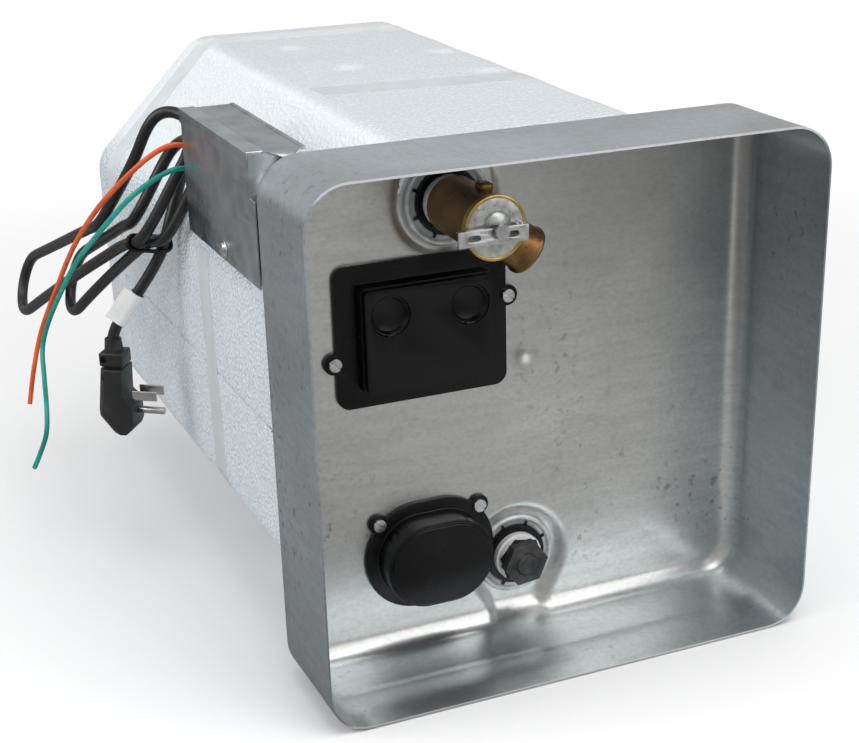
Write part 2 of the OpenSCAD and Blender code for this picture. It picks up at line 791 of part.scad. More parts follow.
// The switches hang in the bracket behind the panel and press on the tank's head
function switch_face_y() = panel_back_y - switch_flange_t - switch_nose;
module switch_body(b) {
    back = head_front_y + head_drop(off_axis(b[0], b[1]) - switch_r) - touch_gap;
    color("black") difference() {
        union() {
            rod(b[0], b[1], switch_r, switch_face_y(), back);
            rod(b[0], b[1], switch_flange_r, panel_back_y - switch_flange_t, panel_back_y);
        }
        rod(b[0], b[1], button_stem_r + fit_gap, switch_face_y() - 1, switch_face_y() + button_travel + 1);
    }
}
module thermostat() { switch_body(button_places()[0]); }
module limit_switch() { switch_body(button_places()[1]); }
module switch_bracket() {
    color("gray") difference() {
        slab(panel_back_y, panel_back_y + bracket_t) translate([reset_x, reset_z + button_up])
            round_rect(window_w + 2 * bracket_lap, window_h + 2 * bracket_lap, bracket_lap / 2);
        for (b = button_places())
            rod(b[0], b[1], switch_r + touch_gap, panel_y, panel_back_y + 2 * bracket_t);
    }
}
module slotted_screw(s, seat_y) {
    color("lightgray") difference() {
        union() {
            rod(s[0], s[1], screw_r, seat_y - screw_head_t, seat_y);
            rod(s[0], s[1], screw_shank_r, seat_y - eps, seat_y + screw_len);
        }
        translate([s[0], seat_y - screw_head_t, s[1]]) rotate([0, screw_turn, 0])
            cube([3 * screw_r, screw_slot * 2, screw_slot], center = true);
    }
}
module reset_cover_screws() { for (s = reset_screw_places()) slotted_screw(s, panel_y - plate_base_t); }

// Element cover and the screw-in heating element

function element_screw_places() = [for (s = [-1, 1])
    [element_x + s * element_ear_x, element_z + element_ear_z]];
function element_seat_y() = panel_y - element_set;
module element_cover() {
    color("#1a1a1c") difference() {
        union() {
            slab(panel_y - plate_base_t, panel_y) {
                translate([element_x, element_z]) oval(element_w, element_h);
                for (s = element_screw_places()) translate(s) circle(ear_r);
            }
            slab(dome_front_y + dome_draft, panel_y - 1) translate([element_x, element_z])
                oval(dome_w, dome_h);
            slab(dome_front_y, panel_y - 1) translate([element_x, element_z])
                oval(dome_w - 2 * dome_draft, dome_h - 2 * dome_draft);
        }
        slab(dome_front_y + cover_wall, panel_y + 1) translate([element_x, element_z])
            oval(dome_w - 3 * cover_wall, dome_h - 3 * cover_wall);
        for (s = element_screw_places()) cover_hole(s);
    }
}
module element_cover_screws() { for (s = element_screw_places()) slotted_screw(s, panel_y - plate_base_t); }
module element_gasket() {
    color("firebrick") ring(element_x, element_z, element_thread_r + spud_wall, element_thread_r + touch_gap,
        element_seat_y() - gasket_t, element_seat_y());
}
module element_head() {
    hex_y = element_seat_y() - gasket_t - element_hex_t;
    color("lightgray") {
        translate([element_x, hex_y + element_hex_t, element_z]) rotate([90, 0, 0])
            cylinder(d = element_hex / cos(30), h = element_hex_t, $fn = 6);
        rod(element_x, element_z, element_thread_r, hex_y + element_hex_t - eps,
            element_seat_y() + thread_in);
        rod(element_x, element_z, terminal_r, hex_y - terminal_t, hex_y + eps);
    }
}
module element_hairpin() {
    y0 = element_seat_y() + thread_in;
    y1 = y0 + hairpin_len;
    color("sienna") {
        for (s = [-1, 1]) rod(element_x + s * hairpin_half, element_z, hairpin_r, y0, y1);
        translate([element_x, y1, element_z]) rotate_extrude(angle = 180)
            translate([hairpin_half, 0]) circle(hairpin_r);
    }
}

// Drain plug with its anode rod

module drain_plug() {
    front = drain_tape_y - hex_t;
    color("#2b2b2b") {
        translate([drain_x, drain_tape_y, drain_z]) rotate([90, hex_turn, 0])
            cylinder(d = drain_af / cos(30), h = hex_t, $fn = 6);
        rod(drain_x, drain_z, drain_thread_r, drain_tape_y - eps, drain_floor_y + thread_in);
        difference() {
            rod(drain_x, drain_z, core_r, front - boss_t, front + eps);
            rod(drain_x, drain_z, boss_dent_r, front - 2 * boss_t, front - boss_t / 2);
        }
    }
}
module anode_rod() {
    y0 = drain_floor_y + thread_in;
    color("gray") {
        rod(drain_x, drain_z, anode_wire_r, y0, y0 + anode_wire);
        rod(drain_x, drain_z, anode_r, y0 + anode_wire - eps, y0 + anode_len);
    }
}

// Wiring box, folded from sheet, let into the jacket's corner

module junction_box() {
    z0 = box_top - box_h;
    color("darkgray") difference() {
        union() {
            translate([box_x, box_front_y, z0]) cube([box_w, box_d, box_h - box_sheet]);
            translate([box_x, box_front_y - box_tongue, z0])
                cube([box_sheet, box_tongue + 1, box_h - pan_corner_r]);
        }
        translate([box_x + box_sheet, box_front_y + box_sheet, z0 + box_sheet])
            cube([box_w - 2 * box_sheet, box_d - 2 * box_sheet, box_h]);
        rod(cord_exit_x, cord_exit_z, bushing_r - neck_gap, box_back_y - neck_in, box_back_y + 1);
        rod(cord_exit_x, wire_exit_z, bushing_r - neck_gap, box_back_y - neck_in, box_back_y + 1);
        translate([box_x - 1, box_front_y + box_screw_in, z0 + box_screw_up]) rotate([0, 90, 0])
            cylinder(r = screw_shank_r + touch_gap, h = 2 * box_sheet + 1);
    }
}
module junction_box_lid() {
    color("darkgray") {
        translate([box_x, box_front_y, box_top - box_sheet]) cube([box_w, box_d, box_sheet]);
        translate([box_x - box_sheet, box_front_y, box_top - lid_lip]) cube([box_sheet, box_d, lid_lip]);
        translate([box_x + box_w / 3, box_front_y - box_tongue, box_top - box_sheet])
            cube([2 * box_w / 3, box_tongue + 1, box_sheet]);
    }
}
module junction_box_screw() {
    place = [box_x, box_front_y + box_screw_in, box_top - box_h + box_screw_up];
    color("lightgray") translate(place) rotate([0, -90, 0]) {
        cylinder(r = screw_r, h = screw_head_t);
        cylinder(r = screw_r + washer_lap, h = washer_t);
        translate([0, 0, -screw_len]) cylinder(r = screw_shank_r, h = screw_len + eps);
    }
}
// A flange and a neck that snap into a hole of the box
module grommet(z) {
    rod(cord_exit_x, z, bushing_r, box_back_y, box_back_y + flange_t);
    rod(cord_exit_x, z, bushing_r - neck_gap - touch_gap, box_back_y - neck_in, box_back_y + eps);
}
module cord_bushing() {
    color("#202022") difference() {
        union() {
            grommet(cord_exit_z);
            translate([cord_exit_x, box_back_y + flange_t - eps, cord_exit_z]) rotate([-90, 0, 0])
                cylinder(r1 = bushing_r - neck_gap, r2 = lead_d / 2 + flange_t / 2,
                    h = bushing_out - flange_t);
        }
        rod(cord_exit_x, cord_exit_z, lead_d / 2, box_back_y - box_d, box_back_y + bushing_out + 1);
    }
}
module wire_grommet() {
    color("#202022") difference() {
        grommet(wire_exit_z);
        for (s = [1, -1]) rod(cord_exit_x, wire_exit_z + s * wire_half, wire_d / 2, box_back_y - box_d,
            box_back_y + box_d);
    }
}

// Mains lead

hank_u = unit(hank_dir);
hank_n = square_to(hank_in_side, hank_u);
hank_v = cross(hank_n, hank_u);
// A place in the hank: u along its length, v across, w through its layers
function hank_at(u, v, w, fan = 0) =
    let (tuck = clamp01((hank_tuck_u - u) / hank_tuck_u),
        slant = tan(fan) * max(0, u - hank_waist_u))
    hank_o + u * hank_u + (v * squeeze(u) + slant) * hank_v + w * hank_n + tuck * tuck * hank_tuck;
function squeeze(u) = 1 - (1 - hank_waist) * exp(-pow((u - hank_waist_u) / hank_waist_l, 2));
// One loop: down one side, round the far fold, up the other side and over to the next layer
function hank_loop(k, u0) =
    let (r = hank_fold_r, far = hank_end[k] - r, w = k * hank_layer, fan = hank_fan[k])
    concat(
        [for (i = [0 : 5]) hank_at(u0 + (far - u0) * i / 6, r, w, fan)],
        [for (i = [0 : 6]) hank_at(far + r * sin(180 * i / 6), r * cos(180 * i / 6), w, fan)],
        [for (i = [1 : 8]) hank_at(far + (hank_top - far) * i / 9, -r, w + hank_layer * pow(i / 9, 2), fan)],
        [for (i = [0 : 5]) let (a = 180 * i / 6)
            hank_at(hank_top - r * sin(a), -r * cos(a), w + hank_layer)]);
hank_path = concat(hank_loop(0, lead_start_u), hank_loop(1, hank_top),
    [hank_at(tail_start_u, hank_fold_r, 2 * hank_layer)]);
// Least gap between two places on the hank that are not neighbours
hank_gap = min([for (i = [0 : len(hank_path) - 1], j = [i + 4 : 1 : len(hank_path) - 1])
    norm(hank_path[i] - hank_path[j])]) - lead_d;
echo(hank_gap = hank_gap, hank_length = route_len(hank_path));

hank_in = hank_path[0];
hank_in_dir = unit(hank_path[1] - hank_path[0]);
lead_path = smooth(concat([cord_start, cord_exit],
    [for (d = lead_route) cord_exit + d], [hank_in - 2 * lead_d * hank_in_dir, hank_in]), 3);
hank_out = hank_path[len(hank_path) - 1];
tail_path = smooth(concat([hank_out], [for (d = tail_drop) hank_out + d]), 3);
plug_top = tail_path[len(tail_path) - 1];

module power_cord_lead() { color("#1b1b1d") tube(lead_path, lead_d, 8); }
module power_cord_hank() { color("#1b1b1d") tube(hank_path, lead_d, 6); }
module power_cord_tail() { color("#1b1b1d") tube(tail_path, lead_d, 8); }
module hank_tie() {
    at = hank_at(hank_waist_u, 0, tie_layer * hank_layer);
    color("#151516") translate(at) multmatrix([
        [hank_v[0], hank_n[0], hank_u[0], 0],
        [hank_v[1], hank_n[1], hank_u[1], 0],
        [hank_v[2], hank_n[2], hank_u[2], 0]])
        translate([0, 0, -tie_len / 2]) linear_extrude(tie_len) difference() {
            oval(tie_w + 2 * tie_t, tie_h + 2 * tie_t);
            oval(tie_w, tie_h);
        }
}
// A plain paper sleeve round the tail, above the plug
module cord_tag() {
    last = len(tail_path) - 1;
    low = tail_path[last - 6];
    along = unit(tail_path[last - 13] - low);
    color("white") translate(low) rotate([0, acos(along[2]), atan2(along[1], along[0])]) difference() {
        cylinder(d = lead_d + 2 * tag_gap + 2 * tag_t, h = tag_len);
        translate([0, 0, -1]) cylinder(d = lead_d + 2 * tag_gap, h = tag_len + 2);
    }
}
module plug_body() {
    color("#1d1d20") translate(plug_top) rotate([0, 0, plug_turn]) {
        translate([0, 0, -plug_neck]) cylinder(r = plug_neck_r, h = plug_neck);
        translate([-plug_t / 2, -plug_d / 2, -plug_len]) cube([plug_t, plug_d, plug_len - plug_neck + eps]);
    }
}
module plug_blades() {
    color("lightgray") translate(plug_top) rotate([0, 0, plug_turn]) {
        for (s = [-1, 1])
            translate([s * blade_half - blade_t / 2, -plug_d / 2 - blade_len, blade_up - plug_len])
                cube([blade_t, blade_len, blade_w]);
        translate([0, -plug_d / 2, earth_up - plug_len]) rotate([90, 0, 0])
            cylinder(r = earth_r, h = blade_len + earth_extra);
    }
}
module wire(route, side) {
    inner = wire_exit + [0, -flange_t - neck_in, side * wire_half];
    tube(smooth(concat([inner], [for (d = route) wire_exit + d]), 4), wire_d, 8);
}
module orange_wire() { color("orangered") wire(orange_route, 1); }
module green_wire() { color("seagreen") wire(green_route, -1); }

front_pan();
foam_upper();
foam_lower();
tank_shell();
tank_front_head();
tank_rear_head();
relief_spud();
drain_spud();
element_spud();
hot_outlet_spud();
cold_inlet_spud();
hot_pickup_tube();
cold_dip_tube();
relief_cup();
relief_star_ring();
relief_tape();
relief_body();
relief_bonnet();
relief_stem();
relief_disc();
relief_spring();
relief_lever();
relief_lever_pin();
relief_probe();
reset_cover();
reset_button_left();
reset_button_right();
thermostat();
limit_switch();
switch_bracket();
reset_cover_screws();
element_cover();
element_cover_screws();
element_gasket();
element_head();
element_hairpin();
drain_cup();
drain_star_ring();
drain_tape();
drain_plug();
anode_rod();
junction_box();
junction_box_lid();
junction_box_screw();
cord_bushing();
wire_grommet();
power_cord_lead();
power_cord_hank();
power_cord_tail();
hank_tie();
cord_tag();
plug_body();
plug_blades();
orange_wire();
green_wire();
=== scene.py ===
import math

import bmesh
import bpy
from mathutils import Matrix, Vector, noise


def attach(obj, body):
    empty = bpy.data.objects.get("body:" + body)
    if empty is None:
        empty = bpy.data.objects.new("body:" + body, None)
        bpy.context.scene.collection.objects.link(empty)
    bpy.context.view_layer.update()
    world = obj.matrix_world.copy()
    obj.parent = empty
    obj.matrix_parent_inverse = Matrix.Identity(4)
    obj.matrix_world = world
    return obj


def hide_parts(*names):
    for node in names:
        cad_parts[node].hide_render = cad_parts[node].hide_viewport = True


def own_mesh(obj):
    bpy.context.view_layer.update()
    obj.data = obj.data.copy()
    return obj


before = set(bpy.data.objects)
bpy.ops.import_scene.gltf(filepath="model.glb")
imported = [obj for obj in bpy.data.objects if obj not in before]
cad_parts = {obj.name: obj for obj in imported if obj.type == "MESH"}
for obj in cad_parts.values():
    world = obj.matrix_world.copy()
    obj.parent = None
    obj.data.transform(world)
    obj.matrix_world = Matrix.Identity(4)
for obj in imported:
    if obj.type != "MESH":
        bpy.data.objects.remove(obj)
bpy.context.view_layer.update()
scene = bpy.context.scene
scene.view_settings.view_transform = "Standard"
mm = 0.001

# camera, from a perspective fit of the pan's corners
cameraView = {
    "place": (-0.42956, -1.05358, 0.53601),
    "right": (0.90527, -0.42465, -0.01258),
    "up": (0.18166, 0.36015, 0.91504),
    "ahead": (0.38404, 0.83064, -0.40318),
    "lens": 72.376,
    "sensor": 36,
    "shift": (-0.0778, 0.1240),
}


def newObject(name, data):
    made = bpy.data.objects.new(name, data)
    scene.collection.objects.link(made)
    return made


def setCamera(view):
    data = bpy.data.cameras.new("photoCamera")
    data.lens, data.sensor_width, data.sensor_fit = view["lens"], view["sensor"], "HORIZONTAL"
    data.shift_x, data.shift_y = view["shift"]
    camera = newObject("photoCamera", data)
    back = [-a for a in view["ahead"]]
    turn = Matrix((view["right"], view["up"], back)).transposed()
    camera.matrix_world = Matrix.Translation(view["place"]) @ turn.to_4x4()
    scene.camera = camera


setCamera(cameraView)
print("camera set")


# shader maths: a socket that can be added, multiplied and so on
class Link:
    def __init__(self, tree, socket=None):
        self.tree = tree
        self.socket = socket

    def add(self, kind, settings=None, inputs=None, out=0):
        made = self.tree.nodes.new(kind)
        for key, value in (settings or {}).items():
            setattr(made, key, value)
        for key, value in (inputs or {}).items():
            if isinstance(value, Link):
                self.tree.links.new(value.socket, made.inputs[key])
            else:
                made.inputs[key].default_value = value
        return Link(self.tree, made.outputs[out])

    def maths(self, operation, first, second):
        return self.add("ShaderNodeMath", {"operation": operation}, {0: first, 1: second})

    def __add__(self, other):
        return self.maths("ADD", self, other)

    def __mul__(self, other):
        return self.maths("MULTIPLY", self, other)

    def __rsub__(self, other):
        return self.maths("SUBTRACT", other, self)

    def ramp(self, low, high, lowOut=0.0, highOut=1.0):
        inputs = {"Value": self, "From Min": low, "From Max": high}
        inputs.update({"To Min": lowOut, "To Max": highOut})
        return self.add("ShaderNodeMapRange", {"interpolation_type": "SMOOTHSTEP"}, inputs)

    def mix(self, first, second):  # self is the factor between two colours
        return self.add("ShaderNodeMix", {"data_type": "RGBA"}, {0: self, 6: first, 7: second}, 2)


def grey(value, warm=0.0):
    return (value * (1 + warm), value, value * (1 - warm), 1)


def rgb(red, green, blue):
    return (red, green, blue, 1)


def objectPlace(s):
    return s.add("ShaderNodeTexCoord", out="Object")


def axis(s, letter):
    return s.add("ShaderNodeSeparateXYZ", {}, {0: objectPlace(s)}, letter)


def spots(s, scale, detail=3.0, rough=0.5, stretch=(1, 1, 1)):
    place = s.add("ShaderNodeMapping", {}, {"Vector": objectPlace(s), "Scale": stretch})
    inputs = {"Vector": place, "Scale": scale, "Detail": detail, "Roughness": rough}
    return s.add("ShaderNodeTexNoise", {}, inputs)


def cells(s, scale):
    return s.add("ShaderNodeTexVoronoi", {}, {"Vector": objectPlace(s), "Scale": scale}, "Distance")


def bump(s, height, distance, strength=1.0):
    inputs = {"Height": height, "Distance": distance, "Strength": strength}
    return s.add("ShaderNodeBump", {}, inputs)


surfaceInputs = {
    "colour": "Base Color",
    "metal": "Metallic",
    "rough": "Roughness",
    "gloss": "Specular IOR Level",
    "normal": "Normal",
}


def surface(s, **inputs):
    return s.add("ShaderNodeBsdfPrincipled", {}, {surfaceInputs[k]: v for k, v in inputs.items()})


def painted(tone, marks, paint):  # marks laid over a tone, each with its share and colour
    for name, mark in marks.items():
        share, colour = paint[name]
        tone = (mark * share).mix(tone, colour)
    return tone


def dressed(owner, paint, output="ShaderNodeOutputMaterial"):
    owner.use_nodes = True
    tree = owner.node_tree
    tree.nodes.clear()
    end = tree.nodes.new(output)
    tree.links.new(paint(Link(tree)).socket, end.inputs["Surface"])
    return owner


panPaint = {
    "wall": (rgb(0.565, 0.625, 0.67), rgb(0.705, 0.775, 0.83)),
    "panel": (rgb(0.63, 0.635, 0.61), rgb(0.775, 0.78, 0.75)),  # painted reflection: the panel is painted a warmer grey and the walls a bluer one, for mirrored ground and sky
    "panelFrom": (-0.172, -0.158),
    "streak": (0.30, rgb(0.47, 0.48, 0.465)),
    "grain": (0.22, rgb(0.40, 0.40, 0.385)),
    "stain": (0.32, rgb(0.43, 0.43, 0.40)),
    "speck": (0.6, rgb(0.21, 0.20, 0.17)),
    "paintedRimHighlight": (0.7, rgb(0.82, 0.85, 0.87)),  # painted highlight: the cut rim is painted bright along top and bottom
    "rim": (-0.2434, -0.2426),
    "rimTop": (0.308, 0.318),
    "rimFoot": (0.003, 0.008),
}


def panSheet(s):  # rolled coated sheet with smudges, stains and a fine grain, with painted reflection tints and a painted highlight on the rim
    cloud = spots(s, 6, 5, 0.6)
    streak = spots(s, 60, 4, 0.65, (0.4, 0.4, 2.6))
    grain = spots(s, 260, 3, 0.6, (1, 1, 1.6))
    stain = spots(s, 15, 6, 0.7).ramp(0.55, 0.72)
    speck = spots(s, 170, 2, 0.5).ramp(0.60, 0.74) * spots(s, 9, 3, 0.5).ramp(0.50, 0.68)
    panel, rise = axis(s, "Y").ramp(*panPaint["panelFrom"]), axis(s, "Z")
    # painted highlight: the rim's front edge is painted pale and less metallic, strongest along the
    # top
    edge = rise.ramp(*panPaint["rimTop"]) + (1 - rise.ramp(*panPaint["rimFoot"])) * 0.7
    edge = edge * (1 - axis(s, "Y").ramp(*panPaint["rim"]))
    # painted reflection: the walls get a bluer grey and the panel a warmer one, standing in for
    # mirrored sky and ground
    dark, pale = (panel.mix(*pair) for pair in zip(panPaint["wall"], panPaint["panel"]))
    tone = cloud.ramp(0.28, 0.74).mix(dark, pale)
    marks = {"streak": streak.ramp(0.35, 0.7), "grain": grain.ramp(0.4, 0.65)}
    tone = painted(tone, {**marks, "stain": stain, "speck": speck, "paintedRimHighlight": edge}, panPaint)
    rough = cloud.ramp(0.25, 0.75, 0.22, 0.32) + streak * 0.10 + stain * 0.08 + (1 - panel) * 0.06
    normal = bump(s, streak * 0.5 + grain * 0.5, 0.0002, 0.35)
    return surface(s, colour=tone, metal=1 - edge * 0.5, rough=rough, normal=normal)


foamPaint = {
    "top": rgb(0.86, 0.905, 0.94),
    "flank": rgb(0.865, 0.935, 0.985),
    "dirt": rgb(0.60, 0.645, 0.675),
    "shade": rgb(0.67, 0.715, 0.75),
    "beadGapShadeAndDust": rgb(0.40, 0.45, 0.49),
    "dust": rgb(0.46, 0.50, 0.53),
    "flankTop": (0.238, 0.262),
    "dustFrom": (0.3165, 0.3205),
    "marks": [(-30, 151), (60, 86), (57, 4), (-20, 60)],  # pale rubbed spots on top
    "markLevel": 320,
    "markSize": (0.012, 0.023, 0.45),
}


def beadFoam(s):  # moulded bead foam, beads about 3 mm across, dusty on top, with painted shade between the beads and its sides painted lighter and bluer than the top
    bead = cells(s, 330)
    ragged = spots(s, 90, 4, 0.7) * 0.016
    flank = 1 - axis(s, "Z").ramp(*foamPaint["flankTop"])  # beads stand out most on the sides
    dust = axis(s, "Z").ramp(*foamPaint["dustFrom"])
    for x, y in foamPaint["marks"]:
        ends = {0: objectPlace(s), 1: (x * mm, y * mm, foamPaint["markLevel"] * mm)}
        away = s.add("ShaderNodeVectorMath", {"operation": "DISTANCE"}, ends, "Value")
        dust = dust * (away + ragged).ramp(*foamPaint["markSize"])
    dirt = spots(s, 5, 5, 0.6).ramp(0.46, 0.78)
    shade = spots(s, 60, 3, 0.6).ramp(0.35, 0.7)
    # painted shade in the gaps between the beads, with dust that settles there on top
    beadGapShadeAndDust = bead.ramp(0.25, 0.65)
    # painted light: the sides are painted lighter and bluer than the top, for how the light falls
    # on them
    tone = flank.mix(foamPaint["top"], foamPaint["flank"])
    tone = (dirt * (flank * 0.2 + 0.1)).mix(tone, foamPaint["dirt"])
    tone = (shade * (flank * 0.2 + 0.05)).mix(tone, foamPaint["shade"])
    tone = (beadGapShadeAndDust * (flank * 0.32 + dust * 0.2 + 0.15)).mix(tone, foamPaint["beadGapShadeAndDust"])
    tone = (dust * 0.48).mix(tone, foamPaint["dust"])
    height = (1 - bead.ramp(0.0, 0.75)) * (flank * 0.9 + dust * 0.2 + 0.3)
    height = height + spots(s, 700, 2, 0.5) * 0.15
    return surface(s, colour=tone, rough=0.40, gloss=0.5, normal=bump(s, height, 0.0014))


def bronze(s):
    cloud = spots(s, 45, 5, 0.6)
    tone = cloud.ramp(0.3, 0.7).mix(rgb(0.20, 0.105, 0.04), rgb(0.36, 0.20, 0.075))
    tone = (spots(s, 160, 3).ramp(0.55, 0.7) * 0.5).mix(tone, rgb(0.11, 0.065, 0.035))
    normal = bump(s, spots(s, 500, 2), 0.0003, 0.3)
    return surface(s, colour=tone, metal=0.9, rough=cloud.ramp(0.3, 0.7, 0.34, 0.5), normal=normal)


def brass(s):
    tone = spots(s, 120, 3).ramp(0.35, 0.7).mix(rgb(0.55, 0.34, 0.11), rgb(0.70, 0.48, 0.20))
    return surface(s, colour=tone, metal=1.0, rough=0.32)


def facePlate(s):  # stamped valve face, bare
    cloud = spots(s, 160, 4, 0.6)
    tone = cloud.ramp(0.3, 0.7).mix(rgb(0.42, 0.43, 0.39), rgb(0.66, 0.68, 0.65))
    tone = (spots(s, 330, 3, 0.6).ramp(0.54, 0.68) * 0.55).mix(tone, rgb(0.20, 0.19, 0.14))
    return surface(s, colour=tone, metal=0.85, rough=0.38, normal=bump(s, cloud, 0.0002, 0.3))


def blackPlastic(s):
    grain = spots(s, 1500, 2, 0.5)
    dust = spots(s, 40, 5, 0.65).ramp(0.5, 0.8)
    tone = (dust * 0.25).mix(grey(0.003), grey(0.016, 0.02))
    normal = bump(s, grain, 0.00015, 0.35)
    return surface(s, colour=tone, rough=dust.ramp(0, 1, 0.24, 0.42), gloss=0.28, normal=normal)


def hexPlastic(s):  # the drain plug's dusty head
    dust = spots(s, 130, 5, 0.65).ramp(0.42, 0.7)
    tone = (dust * 0.5).mix(grey(0.028), grey(0.085, 0.04))
    return surface(s, colour=tone, rough=0.48, normal=bump(s, dust, 0.0003, 0.4))


boxPaint = {
    "cloud": (0.45, rgb(0.27, 0.30, 0.32)),
    "scuff": (0.35, rgb(0.66, 0.69, 0.71)),
    "scratch": (0.45, rgb(0.24, 0.25, 0.26)),
    "crinkleAndShade": rgb(0.05, 0.065, 0.08),
    "creaseAlong": (-0.115, -0.045),
    "creaseBelow": (0.262, 0.296),
    "creaseOut": (-0.1606, -0.1602),  # only the outer side is creased
}


def galvanised(dark, pale, creased=0.0):  # zinc coated sheet with soft spangle, scuffs and crinkles; the crinkles are painted bluish black as painted shade
    def paint(s):
        spangle = cells(s, 60)
        scuff = spots(s, 70, 4, 0.6, (1, 0.3, 1.6))
        scratch = spots(s, 150, 3, 0.6, (1, 0.12, 1))
        cloud = spots(s, 16, 5, 0.6)
        low = axis(s, "Y").ramp(*boxPaint["creaseAlong"])
        low = low * (1 - axis(s, "Z").ramp(*boxPaint["creaseBelow"]))
        low = low * (1 - axis(s, "X").ramp(*boxPaint["creaseOut"]))
        crinkleAndShade = spots(s, 190, 5, 0.7, (1, 1, 0.7))
        marks = {"cloud": cloud.ramp(0.42, 0.7), "scuff": scuff.ramp(0.55, 0.7)}
        marks["scratch"] = scratch.ramp(0.58, 0.72)
        tone = painted(spangle.ramp(0.1, 0.8).mix(dark, pale), marks, boxPaint)
        # painted shade: the crinkled lower rear of the outer side is painted bluish black
        tone = (low * crinkleAndShade.ramp(0.41, 0.56) * creased).mix(tone, boxPaint["crinkleAndShade"])
        rough = cloud.ramp(0.3, 0.7, 0.24, 0.40) + scuff * 0.08
        normal = bump(s, scuff * 0.3 + low * crinkleAndShade * creased, 0.0008, 0.6)
        return surface(s, colour=tone, metal=1.0, rough=rough, normal=normal)

    return paint


def cordJacket(s):
    wear = spots(s, 90, 4, 0.6)
    tone = (wear.ramp(0.5, 0.8) * 0.4).mix(grey(0.014), rgb(0.05, 0.05, 0.055))
    return surface(s, colour=tone, rough=wear.ramp(0.3, 0.7, 0.30, 0.44), gloss=0.5)


def plain(low, high, rough, metal=0.0, scale=80, detail=4, fine=0.6, top=0.7, spread=0.1):
    def paint(s):  # two tones of one colour in soft clouds
        cloud = spots(s, scale, detail, fine)
        tone = cloud.ramp(0.3, top).mix(low, high)
        dull = cloud.ramp(0.3, 0.7, rough, rough + spread)
        return surface(s, colour=tone, metal=metal, rough=dull)

    return paint


wireFinish = {"rough": 0.34, "scale": 60, "detail": 3, "fine": 0.5, "spread": 0}
cupFinish = {"rough": 0.36, "metal": 0.55, "scale": 90, "detail": 5, "fine": 0.65}
cupFinish.update({"top": 0.72, "spread": 0.19})  # dull dished washers under the spuds
finishes = {
    "panSheet": panSheet,
    "beadFoam": beadFoam,
    "bronze": bronze,
    "brass": brass,
    "zinc": plain(grey(0.58), grey(0.74, -0.01), 0.26, 1.0, 120, spread=0.16),
    "cupSheet": plain(rgb(0.50, 0.52, 0.53), rgb(0.80, 0.83, 0.84), **cupFinish),
    "facePlate": facePlate,
    "blackPlastic": blackPlastic,
    "hexPlastic": hexPlastic,
    "galvanised": galvanised(rgb(0.42, 0.46, 0.49), rgb(0.56, 0.605, 0.64), 0.55),
    # painted light: a paler copy of the box sheet, for the lid strip that faces up to the light
    "galvanisedPaintedLit": galvanised(rgb(0.52, 0.555, 0.58), rgb(0.66, 0.70, 0.73)),
    "cordJacket": cordJacket,
    "orangeJacket": plain(rgb(0.62, 0.075, 0.012), rgb(0.78, 0.12, 0.02), **wireFinish),
    "greenJacket": plain(rgb(0.0, 0.22, 0.17), rgb(0.005, 0.34, 0.27), **wireFinish),
    "threadTape": plain(grey(0.72), grey(0.86), 0.55),
    "foamTape": plain(rgb(0.51, 0.55, 0.57), rgb(0.565, 0.605, 0.625), 0.36),
    "foamTapePale": plain(rgb(0.62, 0.66, 0.685), rgb(0.69, 0.73, 0.755), 0.36),
    "tagPaper": plain(grey(0.74), grey(0.84), 0.5),
    "enamelSteel": plain(grey(0.09), grey(0.14), 0.4, 0.3),
    "copper": plain(rgb(0.45, 0.22, 0.12), rgb(0.62, 0.33, 0.19), 0.3, 1.0),
    "rubber": plain(rgb(0.03, 0.02, 0.02), rgb(0.06, 0.04, 0.04), 0.6),
    "springSteel": plain(grey(0.3), grey(0.42), 0.3, 1.0),
    "castAnode": plain(grey(0.38), grey(0.5), 0.45, 1.0),
    "nickel": plain(grey(0.55, 0.02), grey(0.68, 0.03), 0.22, 1.0),
}
for name, paint in finishes.items():
    finishes[name] = dressed(bpy.data.materials.new(name), paint)
print("finishes:", len(finishes))

nodeFinish = {
    "front_pan": "panSheet",
    "foam_upper foam_lower": "beadFoam",
    "tank_shell tank_front_head tank_rear_head element_spud": "enamelSteel",
    "hot_outlet_spud cold_inlet_spud": "zinc",
    "hot_pickup_tube relief_probe element_hairpin": "copper",
    "cold_dip_tube relief_tape drain_tape relief_spud drain_spud": "threadTape",
    "relief_cup drain_cup": "cupSheet",
    "relief_star_ring drain_star_ring reset_cover element_cover": "blackPlastic",
    "reset_button_left reset_button_right thermostat limit_switch": "blackPlastic",
    "cord_bushing wire_grommet hank_tie plug_body": "blackPlastic",
    "relief_body": "bronze",
    "relief_bonnet": "facePlate",
    "relief_stem relief_lever relief_lever_pin switch_bracket element_head": "zinc",
    "reset_cover_screws element_cover_screws junction_box_screw": "zinc",
    "relief_disc element_gasket": "rubber",
    "relief_spring": "springSteel",
    "drain_plug": "hexPlastic",
    "anode_rod": "castAnode",
    "junction_box junction_box_lid": "galvanised",
    "power_cord_lead power_cord_hank power_cord_tail": "cordJacket",
    "cord_tag": "tagPaper",
    "plug_blades": "nickel",
    "orange_wire": "orangeJacket",
    "green_wire": "greenJacket",
}
for names, finish in nodeFinish.items():
    for name in names.split():
        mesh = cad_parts[name].data
        mesh.materials.clear()
        mesh.materials.append(finishes[finish])


# pieces made here
def addPiece(name, mesh, finish, nodes=(), body="heater", smooth=40):
    piece = newObject(name, mesh)
    mesh.materials.clear()
    mesh.materials.append(finishes[finish])
    if isinstance(mesh, bpy.types.Mesh):
        mesh.shade_smooth()
        mesh.set_sharp_from_angle(angle=math.radians(smooth))
    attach(piece, body)
    if nodes:
        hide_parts(*nodes)
    return piece


def copyOf(node):
    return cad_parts[node].data.copy()


# shapes, in mm until the mesh is made
def meshOf(points, faces):
    mesh = bpy.data.meshes.new("shape")
    mesh.from_pydata([Vector(p) * mm for p in points], [], faces)
    return mesh


edgeWork = {"weld": 1e-6, "flat": math.radians(0.6)}


